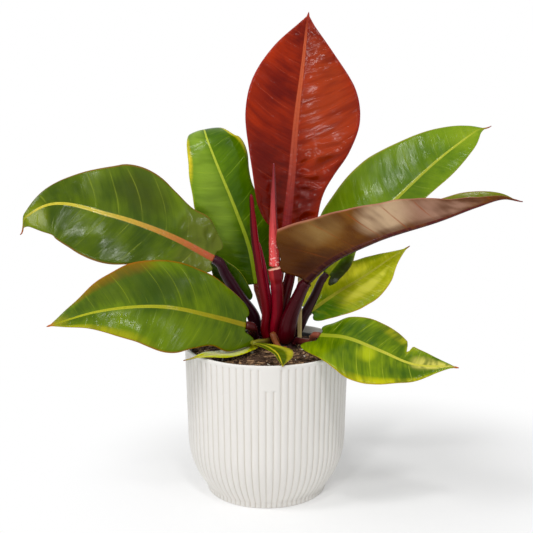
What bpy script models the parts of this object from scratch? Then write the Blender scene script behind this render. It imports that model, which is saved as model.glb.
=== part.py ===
"""Potted philodendron: a young red-flushed plant in a ribbed white planter.

The planter holds a black nursery pot full of potting mix. A short crown sits in the mix,
and the leaf stalks, the rolled new leaf and its sheaths sprout from the crown's domed top.
Metres, +Z up. The origin is the centre of the planter's flat base, on the floor, and the
plant's front looks along -Y. Lengths below are in millimetres and MM turns them to metres.
"""

import math

import bmesh
import bpy
from mathutils import Matrix, Vector

MM = 0.001
GAP = 0.3                      # clearance kept between pieces that touch

# Planter: a tapered wall that curves in to a small foot, with upright ribs.
RIM_RADIUS = 91.5
PLANTER_HEIGHT = 168.0
SHOULDER_RADIUS = 89.2         # where the straight wall meets the curved belly
SHOULDER_Z = 76.0
FOOT_RADIUS = 67.4
FOOT_Z = 6.0
BELLY_POWER = 2.75
WALL = 3.0
FLOOR_THICKNESS = 4.0
LIP_HEIGHT = 2.4
RIB_COUNT = 72
RIB_DEPTH = 0.9
PANEL_ANGLE = math.radians(-87.8)     # middle of the blank panel, just right of the front
PANEL_RIBS = 3
PANEL_HEIGHT = 25.0

# Nursery pot that stands inside the planter.
NURSERY_RIM_Z = 160.0
NURSERY_RIM_RADIUS = 87.6
NURSERY_RIM_HEIGHT = 5.0
NURSERY_TOP_RADIUS = 85.6
NURSERY_BASE_RADIUS = 58.0
NURSERY_WALL = 1.3
DRAIN_COUNT = 6
DRAIN_RADIUS = 4.5
DRAIN_CIRCLE = 38.0

# Potting mix, crown and stake.
MIX_EDGE_Z = 156.0
MIX_MOUND = 4.0
CROWN_XY = (11.0, 19.0)
CROWN_RADIUS = 23.0
CROWN_DOME = 13.0
CROWN_BASE_Z = 130.0
CROWN_SHOULDER_Z = 160.0
STAKE_XY = (37.7, 17.0)
STAKE_RADIUS = 2.6
STAKE_BASE_Z = 90.0
STAKE_TOP_Z = 239.0

BLADE_THICKNESS = 1.2
BLADE_ROWS = 13                # mesh rows from a blade's base to its tip
BLADE_COLUMNS = 6              # mesh columns from edge to edge
STALK_STEP = 9.0               # distance between the points of a stalk

# Each leaf blade. midrib: points from base to tip. facing: the way the upper face looks, at
# the base and at the tip. left, right: half widths at even steps from base to tip, for
# someone who looks at the upper face with the tip up. fold: degrees that each half is raised
# from the midrib. curl: degrees more by its edge. lobe: how far the left and the right base
# lobe reach back. rounding: how far forward their corners are drawn. sweep: how far forward
# each side vein runs, as a share of its length. wave: height and number of the edge's waves.
# stalk: points between the crown and the blade. socket: where the stalk leaves the crown,
# from its middle. girth: radius of the stalk at even steps.
LEAVES = {
    "top": dict(
        midrib=[(22, 28, 290), (28, 34, 347), (33, 42, 411), (41, 50, 480), (46, 58, 531)],
        facing=((-0.1, -1.0, 0.1), (0.1, -1.0, 0.25)),
        left=(34, 42, 51, 58, 54, 35, 0), right=(34, 39, 62, 71, 62, 32, 0),
        fold=14, curl=-10, lobe=(0, 12), rounding=24, sweep=0.25, wave=(2.0, 2.5),
        stalk=[(18, 24, 205), (27, 27, 239), (28, 30, 270)],
        socket=(5, 5), girth=(7.2, 7.0, 5.5, 4.5), hue=(0.48, 0.07, 0.02)),
    "upper_left": dict(
        midrib=[(-59, 8, 262), (-104, 4, 287), (-171, 0, 312), (-237, -6, 324),
                (-275, -10, 302)],
        facing=((0.0, -0.85, 0.55), (-0.1, -0.85, 0.5)),
        left=(22, 30, 36, 42, 49, 55, 57, 54, 49, 45, 40, 28, 0),
        right=(27, 39, 40, 50, 60, 65, 63, 54, 42, 29, 18, 9, 0),
        fold=10, curl=-12, lobe=(7, 7), rounding=12, sweep=0.25, wave=(1.5, 1.5),
        stalk=[(-14, 24, 190), (-30, 20, 216), (-46, 14, 244)],
        socket=(-19, 6), girth=(5.5, 6.5, 6.5, 5.0), hue=(0.10, 0.22, 0.02)),
    "back_left": dict(
        midrib=[(-12, 60, 223), (-20, 53, 267), (-34, 44, 309), (-57, 36, 368),
                (-67, 42, 393), (-71, 57, 402), (-76, 78, 396)],
        facing=((0.0, -0.95, 0.2), (-0.05, -0.4, 0.9)),
        left=(28, 37, 42, 45, 46, 45, 43, 39, 35, 29, 23, 16, 0),
        right=(24, 31, 35, 36, 34, 31, 30, 34, 39, 40, 33, 20, 0),
        fold=2, curl=-12, lobe=(8, 8), rounding=8, sweep=0.25, wave=(1.5, 2.0),
        stalk=[(0, 46, 188), (-7, 56, 205)],
        socket=(-3, 19), girth=(4.8, 4.5, 4.0, 3.5), hue=(0.20, 0.30, 0.02)),
    "lower_left": dict(
        midrib=[(-23, -16, 192), (-55, -32, 205), (-110, -55, 222), (-174, -72, 221),
                (-227, -80, 207)],
        facing=((0.0, -0.85, 0.55), (-0.2, -0.85, 0.5)),
        left=(25, 35, 33, 41, 49, 50, 45, 38, 31, 23, 15, 8, 0),
        right=(25, 35, 44, 49, 53, 54, 52, 48, 40, 31, 19, 10, 0),
        fold=8, curl=-14, lobe=(15, 5), rounding=8, sweep=0.25, wave=(2.0, 1.5),
        stalk=[(-15, 1, 181)],
        socket=(-20, -5), girth=(4.6, 5.0, 4.5), hue=(0.16, 0.28, 0.02)),
    "right_back": dict(
        midrib=[(70, 48, 237), (109, 66, 281), (152, 84, 319), (206, 106, 365),
                (267, 126, 408)],
        facing=((-0.2, -0.8, 0.6), (-0.2, -0.8, 0.6)),
        left=(24, 39, 51, 57, 62, 64, 63, 57, 49, 41, 32, 20, 0),
        right=(18, 19, 11, 15, 21, 25, 27, 28, 28, 26, 22, 15, 0),
        fold=10, curl=-8, lobe=(8, 12), rounding=6, sweep=0.25, wave=(1.5, 2.0),
        stalk=[(42, 32, 188), (56, 40, 213)],
        socket=(18, 9), girth=(5.5, 5.5, 5.0, 4.0), hue=(0.14, 0.28, 0.03)),
    "folded_right": dict(
        midrib=[(45, 0, 237), (55, -4, 248), (67, -8, 259), (115, -20, 286), (188, -26, 311),
                (225, -26, 325), (252, -25, 333), (271, -24, 332)],
        facing=((0.0, 0.0, 1.0), (0.0, 0.05, 1.0)),
        left=(30, 38, 33, 28, 22, 17, 0), right=(66, 53, 44, 38, 26, 11, 0),
        fold=72, curl=-6, lobe=(8, 0), rounding=21, sweep=0.2, wave=(0.5, 1.0),
        stalk=[(25, 4, 192), (33, 3, 214), (39, 2, 228)],
        socket=(9, -13), girth=(7.6, 8.2, 7.4, 6.0), hue=(0.22, 0.10, 0.02)),
    "lower_back": dict(
        midrib=[(51, 52, 191), (84, 68, 210), (118, 84, 227), (150, 98, 246),
                (174, 108, 259)],
        facing=((-0.2, -0.75, 0.65), (-0.1, -0.7, 0.7)),
        left=(22, 34, 33, 27, 20, 10, 0), right=(20, 32, 36, 35, 27, 12, 0),
        fold=10, curl=-10, lobe=(6, 6), rounding=6, sweep=0.25, wave=(1.5, 2.0),
        stalk=[(36, 45, 179)],
        socket=(10, 18), girth=(4.5, 4.2, 3.8), hue=(0.36, 0.42, 0.03)),
    "right_front": dict(
        midrib=[(58, -40, 187), (82, -60, 190), (119, -78, 180), (149, -86, 169),
                (197, -90, 167)],
        facing=((0.0, -0.65, 0.75), (0.1, -0.65, 0.75)),
        left=(18, 27, 33, 31, 21, 14, 0), right=(26, 38, 47, 44, 27, 10, 0),
        fold=8, curl=-8, lobe=(5, 17), rounding=6, sweep=0.2, wave=(2.0, 2.0),
        stalk=[(39, 1, 169), (49, -18, 174)],
        socket=(19, -10), girth=(3.6, 3.4, 3.2), hue=(0.12, 0.24, 0.02)),
    "behind_left": dict(
        midrib=[(-24, 36, 206), (-39, 34, 226), (-55, 32, 250), (-66, 31, 269)],
        facing=((0.1, -0.9, 0.3), (0.1, -0.9, 0.3)),
        left=(12, 15, 17, 16, 12, 7, 0), right=(12, 15, 17, 16, 12, 7, 0),
        fold=12, curl=10, lobe=(2, 2), rounding=4, sweep=0.2, wave=(1.0, 2.0),
        stalk=[(-12, 37, 189)],
        socket=(-14, 16), girth=(3.8, 3.6, 3.2), hue=(0.14, 0.28, 0.03)),
    "rim_left": dict(
        midrib=[(-15, -12, 168), (-37, -34, 166), (-61, -59, 170.5), (-86, -84, 172)],
        facing=((0.0, -0.1, 1.0), (0.0, -0.2, 1.0)),
        left=(9, 12, 13, 12, 7, 2.5, 0), right=(9, 12, 13, 12, 8, 3, 0),
        fold=4, curl=-4, lobe=(2, 2), rounding=3, sweep=0.2, wave=(0.6, 1.5),
        stalk=[(-9, -3, 170)],
        socket=(-15, -15), girth=(3.0, 2.8, 2.4), hue=(0.30, 0.40, 0.03)),
    "rim_front": dict(
        midrib=[(-12, -34, 176), (0, -54, 178.5), (11, -74, 176.5), (17, -95, 168.5)],
        facing=((0.0, -0.35, 0.95), (0.1, -0.5, 0.85)),
        left=(4, 3, 4, 10, 17, 13, 0), right=(4, 4, 4, 4, 4, 3, 0),
        fold=6, curl=-4, lobe=(0, 0), rounding=2, sweep=0.1, wave=(0.8, 1.5),
        stalk=[(-2, -14, 173)],
        socket=(-6, -19), girth=(2.8, 2.6, 2.2), hue=(0.36, 0.44, 0.04)),
}

# Sheaths and the rolled leaf: points above the crown, and the radius at each point.
SHOOTS = {
    "red_sheath": dict(
        socket=(-11, -8), path=[(-1, 9, 200), (-6, 6, 235), (-13, 2, 285), (-17, -1, 336)],
        girth=(4.2, 4.4, 4.2, 4.0, 2.2), hue=(0.20, 0.01, 0.03)),
    "inner_sheath": dict(
        socket=(-8, 3), path=[(3, 16, 205), (-0.5, 12.5, 236), (-4.5, 9.5, 262), (-9, 7.5, 282)],
        girth=(3.0, 3.2, 2.8, 1.4), hue=(0.28, 0.01, 0.04)),
    "bud_sheath": dict(
        socket=(-2, -6), path=[(12, 11, 200), (12, 10, 222), (10.5, 8, 244), (10.5, 8, 254)],
        girth=(5.2, 6.0, 6.6, 7.6, 9.6), hue=(0.55, 0.03, 0.05)),
    "dry_sheath": dict(
        socket=(1, -21), path=[(7, -12, 181), (10, -17, 173), (17, -22, 167), (23, -20, 169)],
        girth=(2.8, 3.2, 3.0, 1.4), hue=(0.16, 0.05, 0.02)),
}
ROLLED_LEAF = dict(
    path=[(9, 8, 254.3), (9, 8, 278), (8, 9, 305), (8, 9, 335), (8, 8, 368)],
    girth=(6.4, 6.2, 4.6, 3.3, 1.0), hue=(0.55, 0.04, 0.06))

PLANTER_HUE = (0.82, 0.81, 0.78)
NURSERY_HUE = (0.012, 0.012, 0.012)
MIX_HUE = (0.035, 0.022, 0.014)
CROWN_HUE = (0.10, 0.02, 0.02)
STAKE_HUE = (0.62, 0.50, 0.28)
STALK_HUE = (0.09, 0.008, 0.02)


def clear_scene():
    """Start from an empty scene."""
    for old in list(bpy.data.objects):
        bpy.data.objects.remove(old, do_unlink=True)


def new_collection(name):
    """A collection linked under the scene."""
    group = bpy.data.collections.new(name)
    bpy.context.scene.collection.children.link(group)
    return group


def finish(name, hue, roughness):
    """A Principled material with one colour."""
    material = bpy.data.materials.new(name)
    material.use_nodes = True
    shader = material.node_tree.nodes["Principled BSDF"]
    shader.inputs["Base Color"].default_value = (*hue, 1.0)
    shader.inputs["Roughness"].default_value = roughness
    shader.inputs["Metallic"].default_value = 0.0
    return material


def add_object(name, data, group, hue=None, roughness=0.5):
    """Link a new object that carries this mesh or curve."""
    thing = bpy.data.objects.new(name, data)
    group.objects.link(thing)
    if hue is not None:
        data.materials.append(finish(name, hue, roughness))
    return thing


def as_mesh(thing, name, weld):
    """Turn an object with its modifiers, or a curve, into a plain welded mesh."""
    bpy.context.view_layer.update()
    graph = bpy.context.evaluated_depsgraph_get()
    mesh = bpy.data.meshes.new_from_object(thing.evaluated_get(graph))
    mesh.name = name
    bpy.data.objects.remove(thing, do_unlink=True)
    shape = bmesh.new()
    shape.from_mesh(mesh)
    bmesh.ops.remove_doubles(shape, verts=shape.verts, dist=weld)
    shape.to_mesh(mesh)
    shape.free()
    return mesh


def smooth_at(knots, values, x):
    """Read the smooth curve that passes through the values at the knots."""
    spans = [b - a for a, b in zip(knots, knots[1:])]
    rises = [(b - a) / span for a, b, span in zip(values, values[1:], spans)]
    i = max(k for k in range(len(spans)) if k == 0 or knots[k] <= x)
    span = spans[i]

    def slope(k):
        if k == 0:
            return rises[0]
        if k == len(spans):
            return rises[-1]
        return (rises[k - 1] * spans[k] + rises[k] * spans[k - 1]) / (spans[k - 1] + spans[k])

    f = (x - knots[i]) / span
    return (values[i] * (2 * f ** 3 - 3 * f ** 2 + 1) + values[i + 1] * (3 * f ** 2 - 2 * f ** 3)
            + slope(i) * (span * (f ** 3 - 2 * f ** 2 + f))
            + slope(i + 1) * (span * (f ** 3 - f ** 2)))


def smooth_point(points, t):
    """A point of the smooth curve through the points, with t from 0 to 1 along it."""
    knots = [0.0]
    for a, b in zip(points, points[1:]):
        knots.append(knots[-1] + (Vector(b) - Vector(a)).length)
    return smooth_at(knots, [Vector(point) for point in points], t * knots[-1])


def smooth_value(values, t):
    """A number read from the smooth curve through evenly spaced values."""
    last = len(values) - 1
    return smooth_at([k / last for k in range(last + 1)], values, t)


def path_length(points):
    """Length of the straight runs between the points."""
    return sum((Vector(b) - Vector(a)).length for a, b in zip(points, points[1:]))


def turned_mesh(name, profile, steps):
    """Spin a profile of (radius, height) in millimetres, listed inside to outside, about Z."""
    mesh = bpy.data.meshes.new(name)
    points = [(radius * MM, 0.0, height * MM) for radius, height in profile]
    mesh.from_pydata(points, [(i, i + 1) for i in range(len(points) - 1)], [])
    spun = bpy.data.objects.new(name, mesh)
    bpy.context.scene.collection.objects.link(spun)
    screw = spun.modifiers.new("turn", "SCREW")
    screw.steps = steps
    screw.render_steps = steps
    screw.use_merge_vertices = True
    screw.merge_threshold = 0.00001
    return as_mesh(spun, name, 0.00001)


def wall_radius(z):
    """Outer radius of the planter's ribs at a height."""
    if z >= SHOULDER_Z:
        share = (z - SHOULDER_Z) / (PLANTER_HEIGHT - SHOULDER_Z)
        return SHOULDER_RADIUS + (RIM_RADIUS - SHOULDER_RADIUS) * share
    share = (SHOULDER_Z - max(z, FOOT_Z)) / (SHOULDER_Z - FOOT_Z)
    return SHOULDER_RADIUS - (SHOULDER_RADIUS - FOOT_RADIUS) * share ** BELLY_POWER


def planter_profile():
    """Inner floor, inner wall, lip, outer wall and foot of the planter."""
    floor_z = FLOOR_THICKNESS
    inner = [(0.0, floor_z), (wall_radius(floor_z + 4) - WALL - 4, floor_z)]
    inner += [(wall_radius(z) - WALL, z) for z in (12.0, 30.0, 52.0, SHOULDER_Z)]
    lip = [(RIM_RADIUS - WALL, PLANTER_HEIGHT), (RIM_RADIUS, PLANTER_HEIGHT)]
    below_lip = PLANTER_HEIGHT - LIP_HEIGHT
    panel_foot = below_lip - PANEL_HEIGHT
    heights = (below_lip, panel_foot, panel_foot - 1.5, SHOULDER_Z, 52.0, 34.0, 20.0, 10.0)
    outer = [(wall_radius(z), z) for z in heights]
    foot = [(FOOT_RADIUS, FOOT_Z), (FOOT_RADIUS - 0.6, 0.0), (0.0, 0.0)]
    return inner + lip + outer + foot


def is_blank(angle, z):
    """True on the smooth panel at the top of the front."""
    turn = math.remainder(angle - PANEL_ANGLE, math.tau)
    half = PANEL_RIBS / 2 * math.tau / RIB_COUNT - 0.01
    return abs(turn) < half and z > PLANTER_HEIGHT - LIP_HEIGHT - PANEL_HEIGHT - 0.5


def build_planter(group):
    """The ribbed outer pot: grooves are pressed into a turned shell."""
    mesh = turned_mesh("planter", planter_profile(), RIB_COUNT * 2)
    rib = math.tau / RIB_COUNT
    mesh.transform(Matrix.Rotation(PANEL_ANGLE + rib / 2, 4, "Z"))
    top = (PLANTER_HEIGHT - LIP_HEIGHT / 2) * MM
    for vertex in mesh.vertices:
        x, y, z = vertex.co
        radius = math.hypot(x, y)
        outside = radius > (wall_radius(z / MM) - WALL / 2) * MM and 0.0 < z < top
        angle = math.atan2(y, x)
        groove = round((angle - PANEL_ANGLE) / rib - 0.5, 3) % 1.0 in (0.0, 1.0)
        if outside and groove and not is_blank(angle, z / MM):
            scale = 1.0 - RIB_DEPTH * MM / radius
            vertex.co = (x * scale, y * scale, z)
    add_object("planter", mesh, group, PLANTER_HUE, 0.45)


def nursery_inner_radius(z):
    """Inner radius of the nursery pot at a height."""
    base_z = FLOOR_THICKNESS + GAP
    share = (z - base_z) / (NURSERY_RIM_Z - base_z)
    radius = NURSERY_BASE_RADIUS + (NURSERY_TOP_RADIUS - NURSERY_BASE_RADIUS) * share
    return radius - NURSERY_WALL


def build_nursery_pot(group, cutters):
    """The tapered black pot with a rolled rim and drain holes."""
    base_z = FLOOR_THICKNESS + GAP
    floor_z = base_z + NURSERY_WALL
    under_rim = NURSERY_RIM_Z - NURSERY_RIM_HEIGHT
    profile = [
        (0.0, floor_z), (nursery_inner_radius(floor_z), floor_z),
        (nursery_inner_radius(NURSERY_RIM_Z), NURSERY_RIM_Z),
        (NURSERY_RIM_RADIUS, NURSERY_RIM_Z), (NURSERY_RIM_RADIUS, under_rim),
        (nursery_inner_radius(under_rim) + NURSERY_WALL, under_rim),
        (NURSERY_BASE_RADIUS, base_z), (0.0, base_z)]
    pot = add_object("nursery_pot", turned_mesh("nursery_pot", profile, 48), group,
                     NURSERY_HUE, 0.5)
    holes = bmesh.new()
    for i in range(DRAIN_COUNT):
        angle = math.tau * i / DRAIN_COUNT
        centre = Vector((math.cos(angle), math.sin(angle), 0.0)) * DRAIN_CIRCLE
        centre.z = base_z
        bmesh.ops.create_cone(
            holes, cap_ends=True, segments=12, radius1=DRAIN_RADIUS * MM,
            radius2=DRAIN_RADIUS * MM, depth=10 * MM, matrix=Matrix.Translation(centre * MM))
    cut(pot, holes, "drain_holes", cutters)


def cut(thing, shape, name, cutters):
    """Subtract the shape from an object."""
    mesh = bpy.data.meshes.new(name)
    shape.to_mesh(mesh)
    shape.free()
    cutter = add_object(name, mesh, cutters)
    cutter.hide_render = True
    cutter.display_type = "WIRE"
    boolean = thing.modifiers.new(name, "BOOLEAN")
    boolean.operation = "DIFFERENCE"
    boolean.solver = "EXACT"
    boolean.object = cutter


def mix_height(radius):
    """Height of the potting mix at a distance from the middle."""
    edge = nursery_inner_radius(MIX_EDGE_Z) - GAP
    return MIX_EDGE_Z + MIX_MOUND * (1.0 - (radius / edge) ** 2)


def build_mix(group, cutters):
    """The potting mix, mounded a little, with pockets for the crown and the stake."""
    floor_z = FLOOR_THICKNESS + GAP + NURSERY_WALL + GAP
    edge = nursery_inner_radius(MIX_EDGE_Z) - GAP
    profile = [(0.0, mix_height(0.0)), (edge * 0.4, mix_height(edge * 0.4)),
               (edge * 0.75, mix_height(edge * 0.75)), (edge, MIX_EDGE_Z),
               (nursery_inner_radius(floor_z) - GAP, floor_z), (0.0, floor_z)]
    mix = add_object("potting_mix", turned_mesh("potting_mix", profile, 32), group,
                     MIX_HUE, 0.95)
    pockets = bmesh.new()
    for place, radius, bottom in ((CROWN_XY, CROWN_RADIUS, CROWN_BASE_Z),
                                  (STAKE_XY, STAKE_RADIUS, STAKE_BASE_Z)):
        low, high = bottom - GAP, MIX_EDGE_Z + 20
        centre = Vector((*place, (low + high) / 2)) * MM
        bmesh.ops.create_cone(
            pockets, cap_ends=True, segments=24, radius1=(radius + GAP) * MM,
            radius2=(radius + GAP) * MM, depth=(high - low) * MM,
            matrix=Matrix.Translation(centre))
    cut(mix, pockets, "pockets", cutters)


def build_crown(group):
    """The short stem: a stub sunk in the mix, with a low domed top."""
    dome = [(CROWN_RADIUS * math.sin(a), CROWN_SHOULDER_Z + CROWN_DOME * math.cos(a))
            for a in (i * math.pi / 2 / 6 for i in range(7))]
    profile = dome + [(CROWN_RADIUS * 0.7, CROWN_BASE_Z), (0.0, CROWN_BASE_Z)]
    mesh = turned_mesh("crown", profile, 24)
    mesh.transform(Matrix.Translation(Vector((*CROWN_XY, 0.0)) * MM))
    add_object("crown", mesh, group, CROWN_HUE, 0.6)


def build_stake(group):
    """A thin pale stake pushed into the mix beside the stalks."""
    depth = (STAKE_TOP_Z - STAKE_BASE_Z) * MM
    centre = Vector((*STAKE_XY, (STAKE_TOP_Z + STAKE_BASE_Z) / 2)) * MM
    shape = bmesh.new()
    bmesh.ops.create_cone(shape, cap_ends=True, segments=10, radius1=STAKE_RADIUS * MM,
                          radius2=STAKE_RADIUS * MM, depth=depth,
                          matrix=Matrix.Translation(centre))
    mesh = bpy.data.meshes.new("stake")
    shape.to_mesh(mesh)
    shape.free()
    add_object("stake", mesh, group, STAKE_HUE, 0.6)


def socket_start(socket):
    """The two points where a stalk leaves the crown's dome, square to it."""
    dx, dy = socket
    lean = min(math.hypot(dx, dy) / CROWN_RADIUS, 1.0)
    height = CROWN_DOME * math.sqrt(1.0 - lean ** 2)
    foot = Vector((CROWN_XY[0] + dx, CROWN_XY[1] + dy, CROWN_SHOULDER_Z + height))
    outward = Vector((dx / CROWN_RADIUS ** 2, dy / CROWN_RADIUS ** 2,
                      height / CROWN_DOME ** 2)).normalized()
    return [foot + outward * GAP, foot + outward * 6.0]


def build_tube(name, points, girth, hue, group, roughness=0.4):
    """A round tube along the smooth curve through the points; its two end runs are straight."""
    route = points[1:-1]
    count = max(3, round(path_length(route) / STALK_STEP))
    stops = [smooth_point(route, i / count) for i in range(count + 1)]
    stops = [Vector(points[0]), *stops, Vector(points[-1])]
    curve = bpy.data.curves.new(name, "CURVE")
    curve.dimensions = "3D"
    curve.bevel_depth = MM
    curve.bevel_resolution = 2
    curve.use_fill_caps = True
    spline = curve.splines.new("POLY")
    spline.points.add(len(stops) - 1)
    for i, (point, stop) in enumerate(zip(spline.points, stops)):
        point.co = (*(stop * MM), 1.0)
        point.radius = smooth_value(girth, i / (len(stops) - 1))
    tube = bpy.data.objects.new(name, curve)
    bpy.context.scene.collection.objects.link(tube)
    add_object(name, as_mesh(tube, name, 0.00001), group, hue, roughness)


def blade_frame(leaf, u):
    """Point, forward, side and upward directions of a blade's midrib at u."""
    points = leaf["midrib"]
    ahead = smooth_point(points, min(u + 0.02, 1.0)) - smooth_point(points, max(u - 0.02, 0.0))
    forward = ahead.normalized()
    base, tip = (Vector(way) for way in leaf["facing"])
    up = base.lerp(tip, u)
    up = (up - forward * up.dot(forward)).normalized()
    return smooth_point(points, u), forward, forward.cross(up), up


def blade_point(leaf, u, v):
    """A point of the blade: u runs from base to tip, v from the left edge to the right."""
    length = path_length(leaf["midrib"])
    side = abs(v)
    width = smooth_value(leaf["right"] if v > 0 else leaf["left"], u)
    reach = side * width
    hump = math.sin(2.5 * max(0.0, (side - 0.35) / 0.65) ** 0.8)
    lobe = leaf["lobe"][1 if v > 0 else 0]
    back = (lobe * hump - leaf["rounding"] * side ** 3) * (1.0 - u) ** 8
    slide = leaf["sweep"] * reach * side ** 0.6 * min(1.0, 4.0 * u) * (1.0 - u) - back
    along = u + slide / length
    centre, forward, across, up = blade_frame(leaf, min(max(along, 0.0), 1.0))
    centre = centre + forward * (along - min(max(along, 0.0), 1.0)) * length
    fold = math.radians(leaf["fold"])
    curl = math.radians(leaf["curl"]) or 0.001
    turn = fold + curl * side
    out = reach * (math.sin(turn) - math.sin(fold)) / (curl * side) if side else 0.0
    rise = reach * (math.cos(fold) - math.cos(turn)) / (curl * side) if side else 0.0
    height, count = leaf["wave"]
    ripple = height * side ** 2 * math.sin(math.tau * count * u + v) * min(1.0, 5 * (1 - u))
    sign = 1.0 if v > 0 else -1.0
    return centre + across * out * sign + up * (rise + ripple)


def build_blade(name, leaf, group):
    """A leaf blade: a grid laid over the leaf's surface and thickened."""
    shape = bmesh.new()
    bmesh.ops.create_grid(shape, x_segments=BLADE_COLUMNS, y_segments=BLADE_ROWS, size=1.0)
    for vertex in shape.verts:
        u = ((vertex.co.y + 1.0) / 2.0) ** 1.25
        vertex.co = blade_point(leaf, u, vertex.co.x) * MM
    bmesh.ops.remove_doubles(shape, verts=shape.verts, dist=0.2 * MM)
    mesh = bpy.data.meshes.new(name)
    shape.to_mesh(mesh)
    shape.free()
    blade = add_object(name, mesh, group, leaf["hue"], 0.35)
    solid = blade.modifiers.new("thickness", "SOLIDIFY")
    solid.thickness = BLADE_THICKNESS * MM
    solid.offset = 0.0


def build_leaf(name, leaf, group):
    """A leaf: its stalk from the crown to the blade, and the blade."""
    foot, forward, _, _ = blade_frame(leaf, 0.0)
    end = foot - forward * GAP
    points = socket_start(leaf["socket"]) + leaf["stalk"] + [end - forward * 6.0, end]
    build_tube("stalk_" + name, points, leaf["girth"], STALK_HUE, group)
    build_blade("leaf_" + name, leaf, group)


def main():
    clear_scene()
    parts = new_collection("potted_philodendron")
    cutters = new_collection("cutters")
    build_planter(parts)
    build_nursery_pot(parts, cutters)
    build_mix(parts, cutters)
    build_crown(parts)
    build_stake(parts)
    for name, leaf in LEAVES.items():
        build_leaf(name, leaf, parts)
    for name, shoot in SHOOTS.items():
        points = socket_start(shoot["socket"]) + shoot["path"]
        build_tube(name, points, shoot["girth"], shoot["hue"], parts)
    build_tube("rolled_leaf", ROLLED_LEAF["path"], ROLLED_LEAF["girth"], ROLLED_LEAF["hue"], parts)


main()
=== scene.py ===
"""Potted philodendron: the finished surfaces of the plant, its planter and its potting mix.

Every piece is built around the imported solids, in metres, +Z up, the plant's front towards -Y.
Leaves, stalks and sheaths follow the same named points as the solids, in millimetres; MM turns
them to metres. Sizes of the planter, pot, mix, crown and stake come from the frame.
"""

import math
import random

import bmesh
import bpy
from mathutils import Matrix, Vector, noise


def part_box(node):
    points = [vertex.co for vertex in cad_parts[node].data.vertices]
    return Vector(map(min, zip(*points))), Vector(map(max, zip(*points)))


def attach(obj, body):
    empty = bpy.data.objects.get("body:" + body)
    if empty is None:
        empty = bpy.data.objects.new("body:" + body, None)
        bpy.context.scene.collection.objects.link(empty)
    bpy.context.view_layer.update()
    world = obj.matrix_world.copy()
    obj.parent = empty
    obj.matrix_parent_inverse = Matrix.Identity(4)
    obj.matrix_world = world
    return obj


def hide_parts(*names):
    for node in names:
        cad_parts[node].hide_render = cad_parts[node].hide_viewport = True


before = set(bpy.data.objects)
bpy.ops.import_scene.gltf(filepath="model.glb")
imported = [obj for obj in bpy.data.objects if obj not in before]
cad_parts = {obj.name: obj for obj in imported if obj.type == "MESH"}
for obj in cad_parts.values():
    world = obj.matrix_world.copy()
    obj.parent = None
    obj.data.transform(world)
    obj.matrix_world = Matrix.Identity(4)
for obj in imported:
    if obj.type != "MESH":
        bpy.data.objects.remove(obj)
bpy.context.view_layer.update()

bl_info = {
    "name": "Potted philodendron",
    "version": (1, 0, 0),
    "blender": (4, 5, 0),
    "location": "3D View > Sidebar > Philodendron",
    "description": "Builds the finished surfaces of a potted philodendron around its solids",
    "category": "Object",
}

MM = 0.001
BODY = "root"


def tone(red, green, blue):
    """A colour given as it shows on a screen, 0 to 255 a channel, turned to linear light."""
    shares = (channel / 255 for channel in (red, green, blue))
    return tuple(s / 12.92 if s <= 0.04045 else ((s + 0.055) / 1.055) ** 2.4 for s in shares)


def node_radius(node):
    """Half the width of a round node of the frame."""
    low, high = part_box(node)
    return (high.x - low.x) / 2


# Planter: heights and depths in metres, taken from the frame or set as its maker would.
PLANTER_RADIUS = node_radius("planter")
PLANTER_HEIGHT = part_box("planter")[1].z
SHOULDER_RADIUS = PLANTER_RADIUS - 2.3 * MM
SHOULDER_Z = 76 * MM
FOOT_RADIUS = PLANTER_RADIUS - 23.9 * MM
FOOT_Z = 6 * MM
BELLY_POWER = 2.75
WALL = 3 * MM
FLOOR_THICKNESS = 4 * MM
LIP_HEIGHT = 2.4 * MM
PANEL_ANGLE = math.radians(-87.8)
PANEL_RIBS = 3
PANEL_HEIGHT = 25 * MM
BELOW_LIP = PLANTER_HEIGHT - LIP_HEIGHT
PANEL_FOOT = BELOW_LIP - PANEL_HEIGHT
CORNER = 8 * MM                # radius inside, between wall and floor
LIP_FADE = 3 * MM              # height over which the grooves run out below the lip
PANEL_FADE = 1.6 * MM          # and at the foot of the blank panel
SHARPNESS = 0.25               # share of a groove's depth that is a sharp line

# Potting mix. Its bed is turned from an outline and roughened, then lumps are strewn on it.
MIX_RADIUS = node_radius("potting_mix")
MIX_MOUND = 4 * MM             # how far the middle of the mix stands above its edge
MIX_LOW, MIX_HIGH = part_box("potting_mix")
MIX_EDGE_Z = MIX_HIGH.z - MIX_MOUND
MIX_TAPER = 0.68               # its width at the base, as a share of the top's
BED_TINT = 0.25                # tint runs from 0, dark peat, to 1, a white grain
CRUMB_HEIGHT = 1.6 * MM
CRUMBS_PER_METRE = 260
LUMPS_AT_ONCE = 50             # a small heap is quicker to add to than a large one
LUMP_SIZES = (1.0 * MM, 1.2 * MM, 1.5 * MM, 1.9 * MM, 2.6 * MM)
LUMP_FORMS = ((1.0, 0.8, 0.6), (1.7, 0.6, 0.4), (2.6, 0.4, 0.3))
LUMP_ROUGHNESS = 0.22
LUMP_REACH = 0.985             # share of the bed's radius that they keep within

# Crown and stake.
CROWN_LOW, CROWN_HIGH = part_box("crown")
CROWN_CENTRE = (CROWN_LOW + CROWN_HIGH) / 2
CROWN_RADIUS = node_radius("crown")
CROWN_DOME = 13 * MM
CROWN_SHOULDER_Z = CROWN_HIGH.z - CROWN_DOME
CROWN_TAPER = 0.7
STAKE_FLATNESS = 0.45          # its depth, as a share of its width

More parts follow.
